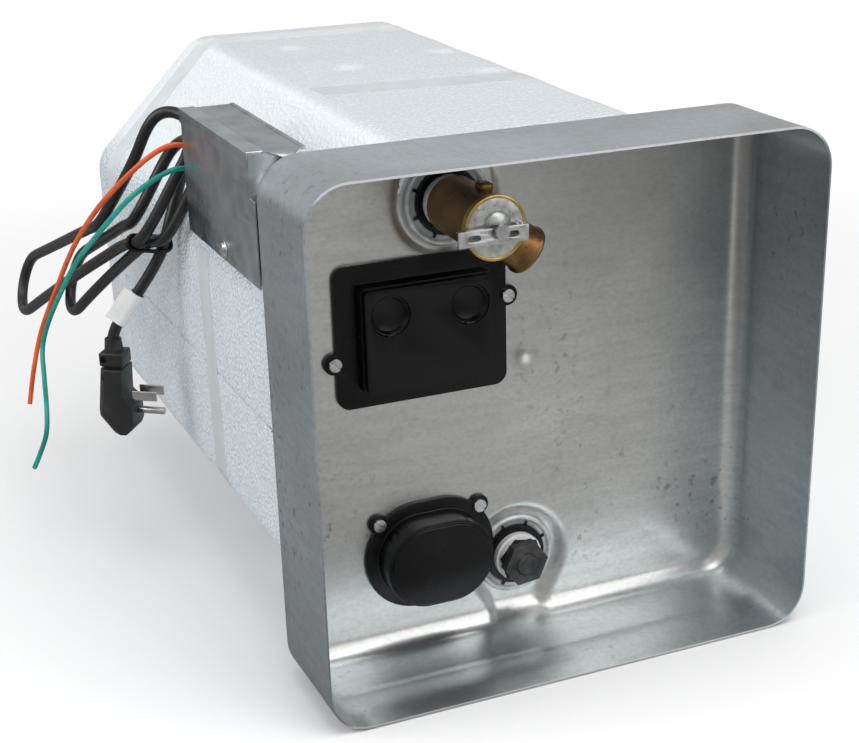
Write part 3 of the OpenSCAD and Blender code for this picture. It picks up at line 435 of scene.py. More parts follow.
def soften(mesh, width, steps=3, angle=28, pick=None, tidy=True, clamp=True):
    work = bmesh.new()
    work.from_mesh(mesh)
    bmesh.ops.remove_doubles(work, verts=work.verts, dist=edgeWork["weld"])
    if tidy:
        every = {"verts": work.verts, "edges": work.edges}
        bmesh.ops.dissolve_limit(work, angle_limit=edgeWork["flat"], **every)
    bmesh.ops.recalc_face_normals(work, faces=work.faces)
    edges = [e for e in work.edges if len(e.link_faces) == 2]
    edges = [e for e in edges if e.calc_face_angle() > math.radians(angle)]
    if pick:
        edges = [e for e in edges if pick((e.verts[0].co + e.verts[1].co) / 2 / mm)]
    shape = {"offset": width * mm, "segments": steps, "profile": 0.5, "affect": "EDGES"}
    bmesh.ops.bevel(work, geom=edges, clamp_overlap=clamp, **shape)
    work.to_mesh(mesh)
    work.free()
    return mesh


def faceOut(mesh):  # faces turned outward, no edge softened
    return soften(mesh, 0, 1, 180, tidy=False)


def softCopy(node, name, finish, width, **how):
    return addPiece(name, soften(copyOf(node), width, **how), finish, [node])


def facing(x, z):  # local Z runs out of the front
    return Matrix.Translation((x, 0, z)) @ Matrix(((1, 0, 0), (0, 0, -1), (0, 1, 0))).to_4x4()


def ringFaces(rings, steps, closed=False):  # between rings of equally many points
    faces = []
    for i in range(rings if closed else rings - 1):
        j = (i + 1) % rings
        for k in range(steps):
            n = (k + 1) % steps
            faces.append((i * steps + k, i * steps + n, j * steps + n, j * steps + k))
    return faces


def loft(rows, closed=False):
    rings, steps = len(rows), len(rows[0])
    faces = ringFaces(rings, steps, closed)
    if not closed:
        faces.append(tuple(range(steps))[::-1])
        faces.append(tuple((rings - 1) * steps + k for k in range(steps)))
    return meshOf(sum(rows, []), faces)


def circle(radius, along, steps):
    turns = [2 * math.pi * k / steps for k in range(steps)]
    return [Vector((radius * math.cos(a), radius * math.sin(a), along)) for a in turns]


def turned(profile, place, steps=72, closed=False):  # profile of (radius, along) pairs
    rows = [[place @ spot for spot in circle(radius, along, steps)] for radius, along in profile]
    return loft(rows, closed)


boxFaces = [(0, 1, 3, 2), (4, 6, 7, 5), (0, 4, 5, 1), (2, 3, 7, 6), (0, 2, 6, 4), (1, 5, 7, 3)]


def block(low, high):
    across, along, up = zip(low, high)
    return meshOf([(x, y, z) for x in across for y in along for z in up], boxFaces)


def softBlock(ends, width, steps=3):
    return soften(block(*ends), width, steps)


def baked(mesh, changes):  # modifiers worked into the mesh
    made = newObject("bake", mesh)
    for kind, settings in changes:
        change = made.modifiers.new("change", kind)
        for key, value in settings.items():
            setattr(change, key, value)
    graph = bpy.context.evaluated_depsgraph_get()
    result = bpy.data.meshes.new_from_object(made.evaluated_get(graph))
    bpy.data.objects.remove(made)
    return result


def fused(base, others, operation="UNION"):  # one closed shape out of several
    tools = [newObject("tool", mesh) for mesh in others]
    join = {"operation": operation, "solver": "EXACT"}
    result = baked(base, [("BOOLEAN", {**join, "object": tool}) for tool in tools])
    for tool in tools:
        bpy.data.objects.remove(tool)
    return result


# cords first: the mains lead in its tied hank and two loose wires, in mm as in the part's source
leadShape = {
    "diameter": 7.5,
    "start": (-143.8, -26, 302),
    "exit": (-143.8, -8, 302),
    "route": [
        (-2, 15, 4), (-8, 27, 9), (-18, 34, 9), (-26, 38, -2), (-32, 45, -19), (-39, 58, -38),
    ],
    "hankFrom": (-40.2, -26, -34),
    "along": (-0.14, 0.9, -0.41),
    "inSide": (1, 0, -0.35),
    "foldRadius": 21,
    "ends": (300, 206),
    "fans": (0, -6),
    "top": 14,
    "waist": (58, 0.4, 26),  # place, share of the width, length
    "layer": 10.6,
    "tuck": (20, 36, 14),
    "leadStart": 130,
    "legStart": 71,
    "tailStart": 34,
    "near": [(-158, 14, 281), (-148, 8, 277.5)],  # round folds tucked in behind the wiring box
    "nearRadius": 17,
    "nearRise": (0.63, -0.09, 0.78),
    "loopSteps": (6, 6, 9),  # out along a loop, round its far fold and back
    "waySteps": 5,
    "ease": (2.5, 7),  # step and spread of the last smoothing
    "tail": [
        (-2.4, 0.2, -10.2), (-5.2, 2.2, -22.4), (-8.4, 6.1, -36.4), (-16, 11, -52),
        (-27, 16, -69), (-38, 20, -84), (-44, 22, -95), (-44, 22, -105),
    ],
}


class Hank:
    def __init__(self, shape):
        self.shape = shape
        self.origin = Vector(shape["exit"]) + Vector(shape["hankFrom"])
        self.along = Vector(shape["along"]).normalized()
        side = Vector(shape["inSide"])
        self.inward = (side - side.dot(self.along) * self.along).normalized()
        self.across = self.inward.cross(self.along)

    def at(self, u, v, w, fan=0.0):
        place, share, length = self.shape["waist"]
        if u > place:
            pull = max(0, 1 - (u - place) / (self.far - place))  # loops widen evenly from here
        else:
            pull = math.exp(-(((u - place) / length) ** 2))
        squeeze = 1 - (1 - share) * pull
        slant = math.tan(math.radians(fan)) * max(0, u - place)
        tuck = min(1, max(0, (place - u) / place)) ** 2
        spot = self.origin + u * self.along + (v * squeeze + slant) * self.across
        return spot + w * self.inward + tuck * Vector(self.shape["tuck"])

    def loop(self, turn, start):
        r, top, layer = (self.shape[key] for key in ("foldRadius", "top", "layer"))
        out, fold, back = self.shape["loopSteps"]
        self.far = far = self.shape["ends"][turn] - r
        w, fan = turn * layer, self.shape["fans"][turn]
        way = [self.at(start + (far - start) * i / out, r, w, fan) for i in range(out)]
        for i in range(fold + 1):
            a = math.pi * i / fold
            way.append(self.at(far + r * math.sin(a), r * math.cos(a), w, fan))
        for i in range(1, back):
            lift = layer * (i / back) ** 2
            way.append(self.at(far + (top - far) * i / back, -r, w + lift, fan))
        return way + self.nearFold(turn, fold)

    def nearFold(self, turn, steps):
        centre, r = Vector(self.shape["near"][turn]), self.shape["nearRadius"]
        rise = Vector(self.shape["nearRise"]).normalized()
        side = (Vector((0, 1, 0)) - rise.y * rise).normalized()
        turns = [math.pi * i / steps for i in range(steps + 1)]
        return [centre + r * (math.sin(a) * rise - math.cos(a) * side) for a in turns]

    def path(self):
        return self.loop(0, self.shape["leadStart"]) + self.loop(1, self.shape["legStart"])

    def tailBase(self):
        return self.at(self.shape["tailStart"], self.shape["foldRadius"], 2 * self.shape["layer"])


def smoothWay(points, steps):  # a smooth curve through every point
    way = []
    last = len(points) - 1
    for i in range(last):
        a, b, c, d = points[max(i - 1, 0)], points[i], points[i + 1], points[min(i + 2, last)]
        for k in range(steps):
            t = k / steps
            even = 2 * b + t * (c - a) + t * t * (2 * a - 5 * b + 4 * c - d)
            way.append(0.5 * (even + t**3 * (3 * b - a - 3 * c + d)))
    return way + [points[last]]


def wayLength(way):
    return sum((b - a).length for a, b in zip(way, way[1:]))


def alongWay(way, far):  # place and heading at a length along a way
    for a, b in zip(way, way[1:]):
        step = (b - a).length
        if far <= step:
            return a.lerp(b, far / step), (b - a).normalized()
        far -= step
    return way[-1], (way[-1] - way[-2]).normalized()


def easeWay(way, step, spread):  # even steps, each point averaged with those beside it
    count = round(wayLength(way) / step)
    even = [alongWay(way, wayLength(way) * i / count)[0] for i in range(count)] + [way[-1]]
    eased = []
    for i in range(count + 1):
        reach = min(i, count - i, round(3 * spread / step))
        shares = {k: math.exp(-((k * step / spread) ** 2) / 2) for k in range(-reach, reach + 1)}
        spot = sum((share * even[i + k] for k, share in shares.items()), Vector())
        eased.append(spot / sum(shares.values()))
    return eased


def addCord(name, way, diameter, finish, nodes):
    data = bpy.data.curves.new(name, "CURVE")
    data.dimensions = "3D"
    data.bevel_depth = diameter / 2 * mm
    data.bevel_resolution = 5
    data.use_fill_caps = True
    spline = data.splines.new("POLY")
    spline.points.add(len(way) - 1)
    for point, spot in zip(spline.points, way):
        point.co = (*(spot * mm), 1)
    spline.use_smooth = True
    return addPiece(name, data, finish, nodes)


bootShape = {"from": 1, "long": 26, "rings": 14, "sides": 32, "radii": (7.6, 4.5), "groove": 0.35}


def bootMesh(way):  # tapered boot round the lead, ringed
    wide, slim = bootShape["radii"]
    rows = []
    for i in range(bootShape["rings"] + 1):
        share = i / bootShape["rings"]
        spot, ahead = alongWay(way, bootShape["from"] + bootShape["long"] * share)
        side = ahead.cross(Vector((0, 0, 1))).normalized()
        place = Matrix((side, side.cross(ahead), ahead)).transposed()
        radius = wide + (slim - wide) * share - bootShape["groove"] * (i % 2)
        rows.append([spot + place @ p for p in circle(radius, 0, bootShape["sides"])])
    return loft(rows)


hank = Hank(leadShape)
hankWay = hank.path()
leadExit = Vector(leadShape["exit"])
leadPoints = [Vector(leadShape["start"]), leadExit]
leadPoints += [leadExit + Vector(step) for step in leadShape["route"]]
leadIn = (hankWay[1] - hankWay[0]).normalized()
leadPoints.append(hankWay[0] - 2 * leadShape["diameter"] * leadIn)
tailPoints = [hank.tailBase() + Vector(step) for step in leadShape["tail"]]
mainsWay = smoothWay(leadPoints + hankWay + tailPoints[1:], leadShape["waySteps"])
mainsWay = easeWay(mainsWay, *leadShape["ease"])
mainsNodes = ["power_cord_lead", "power_cord_hank", "power_cord_tail"]
mainsLead = addCord("mains_lead", mainsWay, leadShape["diameter"], "cordJacket", mainsNodes)
addPiece("mains_lead_boot", bootMesh(mainsWay), "blackPlastic")

wireShape = {
    "diameter": 3.4,
    "exit": (-143.8, -19, 284),
    "inside": 7,
    "waySteps": 6,
    "orange": [
        (0, 0, 2.5), (-2, 5, 5), (-9, 8, 10), (-20, 9, 13), (-34, 12, 7), (-52, 22, -10),
        (-64, 50, -34), (-73, 88, -66), (-82, 118, -102), (-88, 136, -126), (-93, 144, -144),
        (-100, 142, -166), (-106, 138, -188),
    ],
    "green": [
        (0, 0, -2.5), (-2, 5, -2), (-10, 7, -2), (-22, 7, -2), (-36, 8, -8), (-51, 14, -20),
        (-64, 44, -46), (-73, 82, -74), (-80, 108, -100), (-88, 126, -126), (-94, 128, -145),
        (-98, 112, -161), (-103, 88, -176), (-107, 78, -189), (-112, 85, -206), (-115, 94, -218),
    ],
}


def addWire(colour):
    route = [Vector(wireShape["exit"]) + Vector(step) for step in wireShape[colour]]
    inner = route[0] - Vector((0, wireShape["inside"], 0))
    way = smoothWay([inner] + route, wireShape["waySteps"])
    name, thick = colour + "_lead_wire", wireShape["diameter"]
    wire = addCord(name, way, thick, colour + "Jacket", [colour + "_wire"])
    wayLength(way) * mm


addWire("orange")
addWire("green")
print("cords:", round(wayLength(mainsWay)), "mm of mains lead")

# front pan: drawn sheet with bent walls, drain recess and a few dents
panShape = {
    "half": 160.98,
    "sheet": 1.2,
    "corner": 26,
    "leastCorner": 1.5,
    "bend": 13,
    "bendSteps": 9,
    "rim": -243.48,
    "panel": -157.5,
    "sidePoints": 96,
    "cornerPoints": 10,
    "ringGap": 2.6,
    "middle": 4,  # rings stop this far from the middle
    "wall": (0.18, 5),  # share of the depth at the second ring, steps behind the lap
    "lap": (-207.5, 0.4, 0.5, 3),  # place, half its length, lift, only below this height
    "sideLap": (43, 283, 150, 0.5, 8),  # the side walls are stepped in between these heights
    "bulge": (0.3, 0.02, 30),  # the walls are drawn in unevenly: depth, pace, run-in from the rim
    "wave": (0.35, 0.013, 25),  # and so is the panel, from its bend on
    "drain": {
        "at": (-1, 44), "radius": 27, "depth": 6, "shoulder": 9, "trough": 13, "blend": (2.5, 6),
    },
    "groove": {"at": (-45, 282), "radius": 29.5, "width": 3.2, "depth": 1.8},
    "dents": [(7.2, 182, 7.4, 2.45), (148, 68.7, 3, 0.8), (47, 45, 4, 0.25), (93, 43, 4, 0.25)],
    "holes": [(-45, 282, 16.6), (-1, 44, 16.6), (-62, 61, 24), (-63, 208, 30)],
    "holeEdge": (-170, 4),  # holes lie behind this, and edge points this near are drawn round
}


def ease(t):
    t = min(1, max(0, t))
    return t * t * (3 - 2 * t)


def panSink(x, z):  # how far the panel is pressed in behind its plane
    drain, groove = panShape["drain"], panShape["groove"]
    across, above = x - drain["at"][0], z - drain["at"][1]
    disc = math.hypot(across, above) - drain["radius"]
    trough = abs(across) - drain["trough"] if above < 0 else math.inf
    deep, wide = drain["blend"]
    gap = min(disc, trough) - deep * math.exp(-(((disc - trough) / wide) ** 2))
    sink = drain["depth"] * ease(1 - gap / drain["shoulder"])
    ring = math.hypot(x - groove["at"][0], z - groove["at"][1]) - groove["radius"]
    sink += groove["depth"] * math.exp(-((ring / groove["width"]) ** 2))
    for px, pz, wide, deep in panShape["dents"]:
        sink += deep * math.exp(-((math.hypot(x - px, z - pz) / wide) ** 2))
    return sink


def panRing(inset):
    half = panShape["half"] - panShape["sheet"] - inset
    corner = max(panShape["corner"] - panShape["sheet"] - inset, panShape["leastCorner"])
    core, ring = half - corner, []
    for quarter in range(4):
        side = panShape["sidePoints"]
        edge = [Vector((core * ((2 * k + 1) / side - 1), -half)) for k in range(side)]
        for k in range(panShape["cornerPoints"] + 1):
            a = math.pi / 2 * (k / panShape["cornerPoints"] - 1)
            edge.append(Vector((core + corner * math.cos(a), corner * math.sin(a) - core)))
        ring += [Matrix.Rotation(quarter * math.pi / 2, 2) @ p for p in edge]
    return [(p.x, p.y + panShape["half"]) for p in ring]


def panRings():  # inset, depth and share of panel for each ring, from the rim to the middle
    rim, panel, bend = panShape["rim"], panShape["panel"], panShape["bend"]
    lap, reach = panShape["lap"][:2]
    share, steps = panShape["wall"]
    wall = [rim, rim + share * (panel - bend - rim), lap - reach, lap + reach]
    wall += [lap + (panel - bend - lap) * k / steps for k in range(1, steps)]
    rings = [(0, y, 0) for y in wall]
    for k in range(panShape["bendSteps"] + 1):
        a = math.pi / 2 * k / panShape["bendSteps"]
        rings.append((bend * (1 - math.cos(a)), panel - bend * (1 - math.sin(a)), math.sin(a)))
    inset = bend + panShape["ringGap"]
    while inset < panShape["half"] - panShape["middle"]:
        rings.append((inset, panel, 1))
        inset += panShape["ringGap"]
    return rings


def wallPoint(x, y, z):
    deep, pace, run = panShape["bulge"]
    behind = y - panShape["rim"]
    push = deep * (1 + noise.noise(Vector((x, z, y)) * pace)) * ease(behind / run)
    low, high, side, deep, run = panShape["sideLap"]
    if abs(x) > side and low < z < high:
        push += deep * ease(behind / run)
    inward = Vector((x, z - panShape["half"])).normalized() * push
    lap, _, lift, top = panShape["lap"]
    return (x - inward.x, y, z - inward.y + (lift if y < lap and z < top else 0))


def panelPoint(x, y, z, inset, flat):
    deep, pace, run = panShape["wave"]
    sag = noise.noise(Vector((x, z, y)) * pace) * deep
    return (x, y + flat * panSink(x, z) + sag * ease((inset - panShape["bend"]) / run), z)


def cutHole(work, x, z, radius):  # behind a cup or cover
    front, near = panShape["holeEdge"]

    def off(v):
        return math.hypot(v.x / mm - x, v.z / mm - z) - radius

    def inside(v):
        return v.y > front * mm and off(v) < 0

    gone = [f for f in work.faces if inside(f.calc_center_median())]
    bmesh.ops.delete(work, geom=gone, context="FACES")
    for v in work.verts:
        if v.is_boundary and v.co.y > front * mm and abs(off(v.co)) < near:
            out = Vector((v.co.x - x * mm, 0, v.co.z - z * mm)).normalized() * radius * mm
            v.co = Vector((x * mm, v.co.y, z * mm)) + out


def buildPan():
    rings, points = panRings(), []
    for inset, y, flat in rings:
        for x, z in panRing(inset):
            points.append(panelPoint(x, y, z, inset, flat) if flat else wallPoint(x, y, z))
    count = len(panRing(0))
    faces = ringFaces(len(rings), count)
    faces.append(tuple((len(rings) - 1) * count + k for k in range(count)))
    mesh = meshOf(points, faces)
    work = bmesh.new()
    work.from_mesh(mesh)
    bmesh.ops.recalc_face_normals(work, faces=work.faces)
    for hole in panShape["holes"]:
        cutHole(work, *hole)
    wall = min(work.faces, key=lambda f: f.calc_center_median().y)
    above = wall.calc_center_median().z - panShape["half"] * mm
    outward = 1 if wall.normal.z * above > 0 else -1
    work.to_mesh(mesh)
    work.free()
    skin = {"thickness": panShape["sheet"] * mm, "offset": outward, "use_even_offset": False}
    mesh = baked(mesh, [("SOLIDIFY", skin)])
    addPiece("front_pan_sheet", mesh, "panSheet", ["front_pan"], smooth=78)


buildPan()
print("pan shaped")

# foam jacket halves: eight-sided, edges well rounded, faces a little wavy, with two bands of tape
foamShape = {
    "half": 160.0,
    "middle": 161,
    "chamfer": 82,
    "edgeRound": 26,
    "backRound": 13,
    "backSteps": 7,
    "backRing": 5,  # inset of one more ring on the flat back
    "ends": (-175, 243.0),
    "flatPoints": 12,
    "cornerPoints": 8,
    "ringGap": 9,
    "wave": (1.3, (0.008, 0.024, 0.007)),  # depth, and how fast it changes each way
    "seamEdge": (1.4, 2, 50),  # width, steps and least angle, here and below
    "seamAt": (0.3, 150, 238),  # how near the seam, and from where on the outside begins
    "flatBack": 0.999,  # faces that look straight back are shaded flat
    "drainCut": ((-26, -170, 4), (24, -149.5, 36)),  # room behind the pan's drain recess
}
bandShape = {
    "half": 12,
    "lift": 0.2,
    "sunk": -0.5,
    "ragged": (0.9, 0.31, 0.05),  # depth, and how fast it changes round and along the jacket
    "front": [
        (54, -7), (42, -22), (21, -26), (0, -30), (-42, -38), (-63, -45), (-84, -41), (-89, -41),
    ],
    "rear": [
        (0, 196), (21, 198), (42, 199), (54, 209), (75, 200), (84, 191), (105, 189), (126, 192),
        (168, 196),
    ],
}


def foamSection(inset=0.0):  # points round the jacket from its right side, and where they face
    half, turn, count = foamShape["half"] - inset, math.radians(45), foamShape["flatPoints"] + 1
    chamfer = foamShape["chamfer"] - inset * (2 - math.sqrt(2))
    r = foamShape["edgeRound"] - inset
    centres, ring = [], []
    for k in range(8):  # corner between side k and the next
        corner = Vector((half, half - chamfer)) if k % 2 == 0 else Vector((half - chamfer, half))
        corner = Matrix.Rotation(math.radians(90) * (k // 2), 2) @ corner
        middle = turn * (k + 0.5)
        away = Vector((math.cos(middle), math.sin(middle)))
        centres.append(corner - r / math.cos(turn / 2) * away)
    for k in range(8):
        face = Vector((math.cos(turn * k), math.sin(turn * k)))
        first, last = centres[k - 1] + r * face, centres[k] + r * face
        ring += [(first.lerp(last, i / count), face) for i in range(1, count)]
        for i in range(foamShape["cornerPoints"] + 1):
            a = turn * (k + i / foamShape["cornerPoints"])
            face = Vector((math.cos(a), math.sin(a)))
            ring.append((centres[k] + r * face, face))
    return ring


def foamSpot(place, y, lift=0.0):  # a point on the wavy skin, or lifted off it
    flat, face = place
    spot = Vector((flat.x, y, flat.y + foamShape["middle"]))
    deep, pace = foamShape["wave"]
    wave = noise.noise(Vector([a * b for a, b in zip(spot, pace)]))
    return spot + (lift - deep * (0.5 + 0.5 * wave)) * Vector((face.x, 0, face.y))


def foamHull():
    first, last = foamShape["ends"]
    r, steps, section = foamShape["backRound"], foamShape["backSteps"], foamSection()
    count = round((last - r - first) / foamShape["ringGap"])
    rows = []
    for i in range(count):
        y = first + (last - r - first) * i / count
        rows.append([foamSpot(place, y) for place in section])
    for i in range(steps + 1):
        a = math.pi / 2 * i / steps
        section = foamSection(r * (1 - math.cos(a)))
        rows.append([foamSpot(place, last - r * (1 - math.sin(a))) for place in section])
    rows.append([foamSpot(place, last) for place in foamSection(r + foamShape["backRing"])])
    return faceOut(loft(rows))


def onSeam(spot):
    near, side, back = foamShape["seamAt"]
    return abs(spot.z - foamShape["middle"]) < near and (abs(spot.x) > side or spot.y > back)


def addFoam(half):
    mesh = fused(copyOf("foam_" + half), [foamHull()], "INTERSECT")
    if half == "lower":
        mesh = fused(mesh, [block(*foamShape["drainCut"])], "DIFFERENCE")
    soften(mesh, *foamShape["seamEdge"], onSeam, tidy=False, clamp=False)
    addPiece("foam_jacket_" + half, mesh, "beadFoam", ["foam_" + half], smooth=35)
    for face in mesh.polygons:
        face.use_smooth = face.normal.y < foamShape["flatBack"]


def tapeBand(stops):  # a band of tape round the jacket, between numbered points of its section
    section, rows, made = foamSection(), [], []
    for (a, ya), (b, yb) in zip(stops, stops[1:]):
        steps = abs(b - a)
        rows += [(a + (b - a) * i // steps, ya + (yb - ya) * i / steps) for i in range(steps)]
    closed = abs(stops[-1][0] - stops[0][0]) == len(section)
    if not closed:
        rows.append(stops[-1])
    wide, lift, sunk = bandShape["half"], bandShape["lift"], bandShape["sunk"]
    deep, paceRound, paceAlong = bandShape["ragged"]
    for number, y in rows:
        place = section[number % len(section)]
        rag = deep * noise.noise(Vector((number * paceRound, y * paceAlong, 0)))
        across = [-wide + rag, -wide / 2, 0, wide / 2, wide + rag]
        ring = [foamSpot(place, y + step, lift) for step in across]
        made.append(ring + [foamSpot(place, y + step, sunk) for step in (across[-1], across[0])])
    return faceOut(loft(made, closed))


addFoam("upper")
addFoam("lower")
for name, finish in (("front", "foamTape"), ("rear", "foamTapePale")):
    addPiece("foam_tape_" + name, tapeBand(bandShape[name]), finish)
print("foam shaped")

# small parts, edges broken as on the real ones
softParts = {
    "reset_cover": ("cover_reset", "blackPlastic", 0.7),
    "element_cover": ("cover_element", "blackPlastic", 1.6),
    "reset_cover_screws": ("screws_reset", "zinc", 0.25),
    "element_cover_screws": ("screws_element", "zinc", 0.25),
    "relief_tape": ("tape_relief", "threadTape", 0.4),
    "drain_tape": ("tape_drain", "threadTape", 0.4),
    "junction_box": ("wiring_box", "galvanised", 0.45),
    "junction_box_screw": ("wiring_box_screw", "zinc", 0.5),
}
for node, how in softParts.items():
    softCopy(node, *how)
print("small parts softened")

# reset buttons, each with a round well in its face
buttonShape = {"well": [(9.4, -3.3), (10.0, -3.0), (11.2, 0.2), (11.2, 2)]}


def addButton(side):
    node = "reset_button_" + side
    mesh = copyOf(node)
    middle = [sum(v.co[k] for v in mesh.vertices) / len(mesh.vertices) / mm for k in (0, 2)]
    front = -min(v.co.y for v in mesh.vertices) / mm
    well = [(radius, front + out) for radius, out in buttonShape["well"]]
    mesh = fused(mesh, [turned(well, facing(*middle))], "DIFFERENCE")
    addPiece("button_cap_" + side, mesh, "blackPlastic", [node], "button_" + side)


addButton("left")
addButton("right")
print("buttons shaped")

# lid of the wiring box: a plate under a folded strip, with a tab at its front
lidShape = {
    "plate": ((-153, -156, 320.4), (-126.8, -22, 321.2)),
    "strip": ((-161.7, -156, 321.0), (-151.6, -22, 321.98)),
    "lip": ((-161.6, -156, 313), (-160.9, -22, 321.6)),
    "hem": ((-129.4, -156, 321.0), (-126.8, -22, 321.8)),
    "tab": [(-149.5, -156), (-131, -156), (-137, -162.9), (-143.5, -162.9)],
    "tabLevel": (320.4, 321.2),
    "tabBend": (-160, 1.6),  # bent down by this much in front of this
    "plateEdge": (0.2, 2),
    "foldEdge": (0.3, 2),
    "stripEdge": (0.45, 3),
    "tabEdge": (0.2, 1, 40),
}


def lidTab():
    bend, drop = lidShape["tabBend"]
    rows = []
    for level in lidShape["tabLevel"]:
        rows.append([(x, y, level - (drop if y < bend else 0)) for x, y in lidShape["tab"]])
    return soften(loft(rows), *lidShape["tabEdge"], tidy=False)


def addLid():
    plate = softBlock(lidShape["plate"], *lidShape["plateEdge"])
    folds = [softBlock(lidShape[part], *lidShape["foldEdge"]) for part in ("hem", "lip")]
    lid = fused(plate, folds + [lidTab()])
    addPiece("wiring_box_lid", lid, "galvanised", ["junction_box_lid"])
    # the strip takes the paler, painted-lit copy of the box sheet
    strip = softBlock(lidShape["strip"], *lidShape["stripEdge"])
    strip = addPiece("wiring_box_lid_strip", strip, "galvanisedPaintedLit")


addLid()
print("lid folded")

# dished cups and the black star rings that hold them
cupShape = {
    "seats": {"relief": ((-45, 282), 157.5), "drain": ((-1, 44), 151.5)},
    "sides": 96,
    "edge": (0.15, 2, 40),
    "bore": 16.2,
    "profile": [
        (26.5, 0), (26.6, 1.5), (26.0, 2.6), (25.0, 3.0), (24.0, 2.7), (23.0, 1.7), (22.2, 1.15),
    ],
    "ringGap": 0.02,  # between the ring and the cup's floor
    "ring": [(15.95, 0), (20.1, 0), (20.1, 2.04), (19.3, 3.4), (16.25, 3.4)],
    "spikes": {"count": 8, "ends": (18.9, 22.7), "wide": (2.3, 1.38), "thick": (1.3, 0.91)},
}


def starSpike(place, low, number):
    shape, points = cupShape["spikes"], []
    turn = Matrix.Rotation(2 * math.pi * (number + 0.5) / shape["count"], 4, "Z")
    for out, wide, thick in zip(shape["ends"], shape["wide"], shape["thick"]):
        points += [(out, side * wide / 2, z) for z in (low, low + thick) for side in (-1, 1)]
    return meshOf([place @ turn @ Vector(p) for p in points], boxFaces)


def addCup(kind):
    at, seat = cupShape["seats"][kind]
    place = facing(*at) @ Matrix.Translation((0, 0, seat))
    bore, sides, floor = cupShape["bore"], cupShape["sides"], cupShape["profile"][-1][1]
    profile = [(bore, 0)] + cupShape["profile"] + [(bore, floor)]
    cup = soften(turned(profile, place, sides, True), *cupShape["edge"], tidy=False)
    addPiece(kind + "_dished_cup", cup, "cupSheet", [kind + "_cup"])
    low = floor + cupShape["ringGap"]
    section = [(radius, low + up) for radius, up in cupShape["ring"]]
    spikes = [starSpike(place, low, k) for k in range(cupShape["spikes"]["count"])]
    star = fused(turned(section, place, sides, True), spikes)
    addPiece(kind + "_star", star, "blackPlastic", [kind + "_star_ring"])


for kind in cupShape["seats"]:
    addCup(kind)
print("cups and rings shaped")

# relief valve: flared bronze body, brass rim round a bare face, sheet lever
reliefShape = {
    "at": (-45, 282),
    "flare": [
        (13.3, 169), (13.5, 175), (14.6, 181), (16.2, 186), (17.05, 190.5), (30, 190.5), (30, 169),
    ],
    "neck": [(16.0, 212.6), (16.0, 215.2), (17.2, 216.2), (30, 216.2), (30, 211.6), (17.2, 211.6)],
    "lip": [(9.2, 33.4), (9.2, 36), (14.4, 36), (14.6, 35.2), (14.6, 33.8), (13.4, 33)],
    "outlet": ((-45, -205.5, 282), (0.7986, 0, -0.6018)),
    "lug": ((-46, -209, 297.5), (-38, -200, 302.5)),
    "face": [(3.4, 225.38), (16.6, 225.38), (16.6, 225.6), (16.3, 225.72), (3.4, 225.72)],
    "rim": [(16.8, 225.3), (18.5, 225.3), (18.3, 225.65), (17.6, 225.86), (16.9, 225.75)],
    "lugEdge": 1.6,
    "ringEdge": (0.12, 2, 35),
    "leverEdge": (0.3, 2, 40),
    "foldEdge": (0.3, 2),
    "sides": 96,
    "outletSides": 72,
    "springTravel": 3.75,
    "dome": {
        "at": (-44.2, 284.9), "wide": 7.8, "tall": 7.4, "out": 4.3, "from": 225.5,
        "rows": 10, "sides": 32, "edge": (0.3, 2, 50),
    },
    "folds": [
        ((-69.8, -230.8, 275), (-35, -228.6, 275.9)),
        ((-69.8, -230.8, 283.1), (-50.2, -228.6, 284)),
    ],
}
relief = facing(*reliefShape["at"])


def reliefRing(part, place=relief, sides=reliefShape["sides"]):
    return turned(reliefShape[part], place, sides, True)


def reliefBody():
    cuts = [reliefRing("flare"), reliefRing("neck")]
    body = fused(copyOf("relief_body"), cuts, "DIFFERENCE")
    start, along = (Vector(v) for v in reliefShape["outlet"])
    outlet = Matrix.Translation(start) @ along.to_track_quat("Z", "Y").to_matrix().to_4x4()
    lip = reliefRing("lip", outlet, reliefShape["outletSides"])
    return fused(body, [lip, softBlock(reliefShape["lug"], reliefShape["lugEdge"])])


def halfDome(shape):
    (x, z), rows, steps = shape["at"], shape["rows"], shape["sides"]
    points, faces = [], []
    for i in range(rows + 1):
        rise = math.pi / 2 * i / rows
        wide, tall = shape["wide"] * math.cos(rise), shape["tall"] * math.cos(rise)
        out = shape["from"] + shape["out"] * math.sin(rise)
        for k in range(steps + 1):
            a = math.pi * k / steps
            points.append((x + wide * math.cos(a), -out, z + tall * math.sin(a)))
    for i in range(rows):
        for k in range(steps):
            a = i * (steps + 1) + k
            faces.append((a, a + 1, a + steps + 2, a + steps + 1))
    side = [i * (steps + 1) for i in range(rows + 1)]
    faces.append(tuple(side + [s + steps for s in side[-2::-1]]))
    faces.append(tuple(range(steps + 1)))
    return soften(meshOf(points, faces), *shape["edge"], tidy=False)


def addSpring():
    spring = copyOf("relief_spring")
    spring = addPiece("relief_coil_spring", spring, "springSteel", ["relief_spring"])
    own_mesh(spring)


addPiece("relief_valve_body", reliefBody(), "bronze", ["relief_body"], smooth=35)
softCopy("relief_bonnet", "relief_cap", "brass", 0.4, angle=60)
for part, finish in (("face", "facePlate"), ("rim", "brass")):
    ring = soften(reliefRing(part), *reliefShape["ringEdge"], tidy=False)
    addPiece("relief_" + part, ring, finish)
addPiece("relief_dome", halfDome(reliefShape["dome"]), "facePlate")
lever = soften(copyOf("relief_lever"), *reliefShape["leverEdge"])
folds = [softBlock(ends, *reliefShape["foldEdge"]) for ends in reliefShape["folds"]]
lever = fused(lever, folds)
addPiece("relief_strip_lever", lever, "zinc", ["relief_lever"], "relief_lever")
addSpring()
print("relief valve shaped")

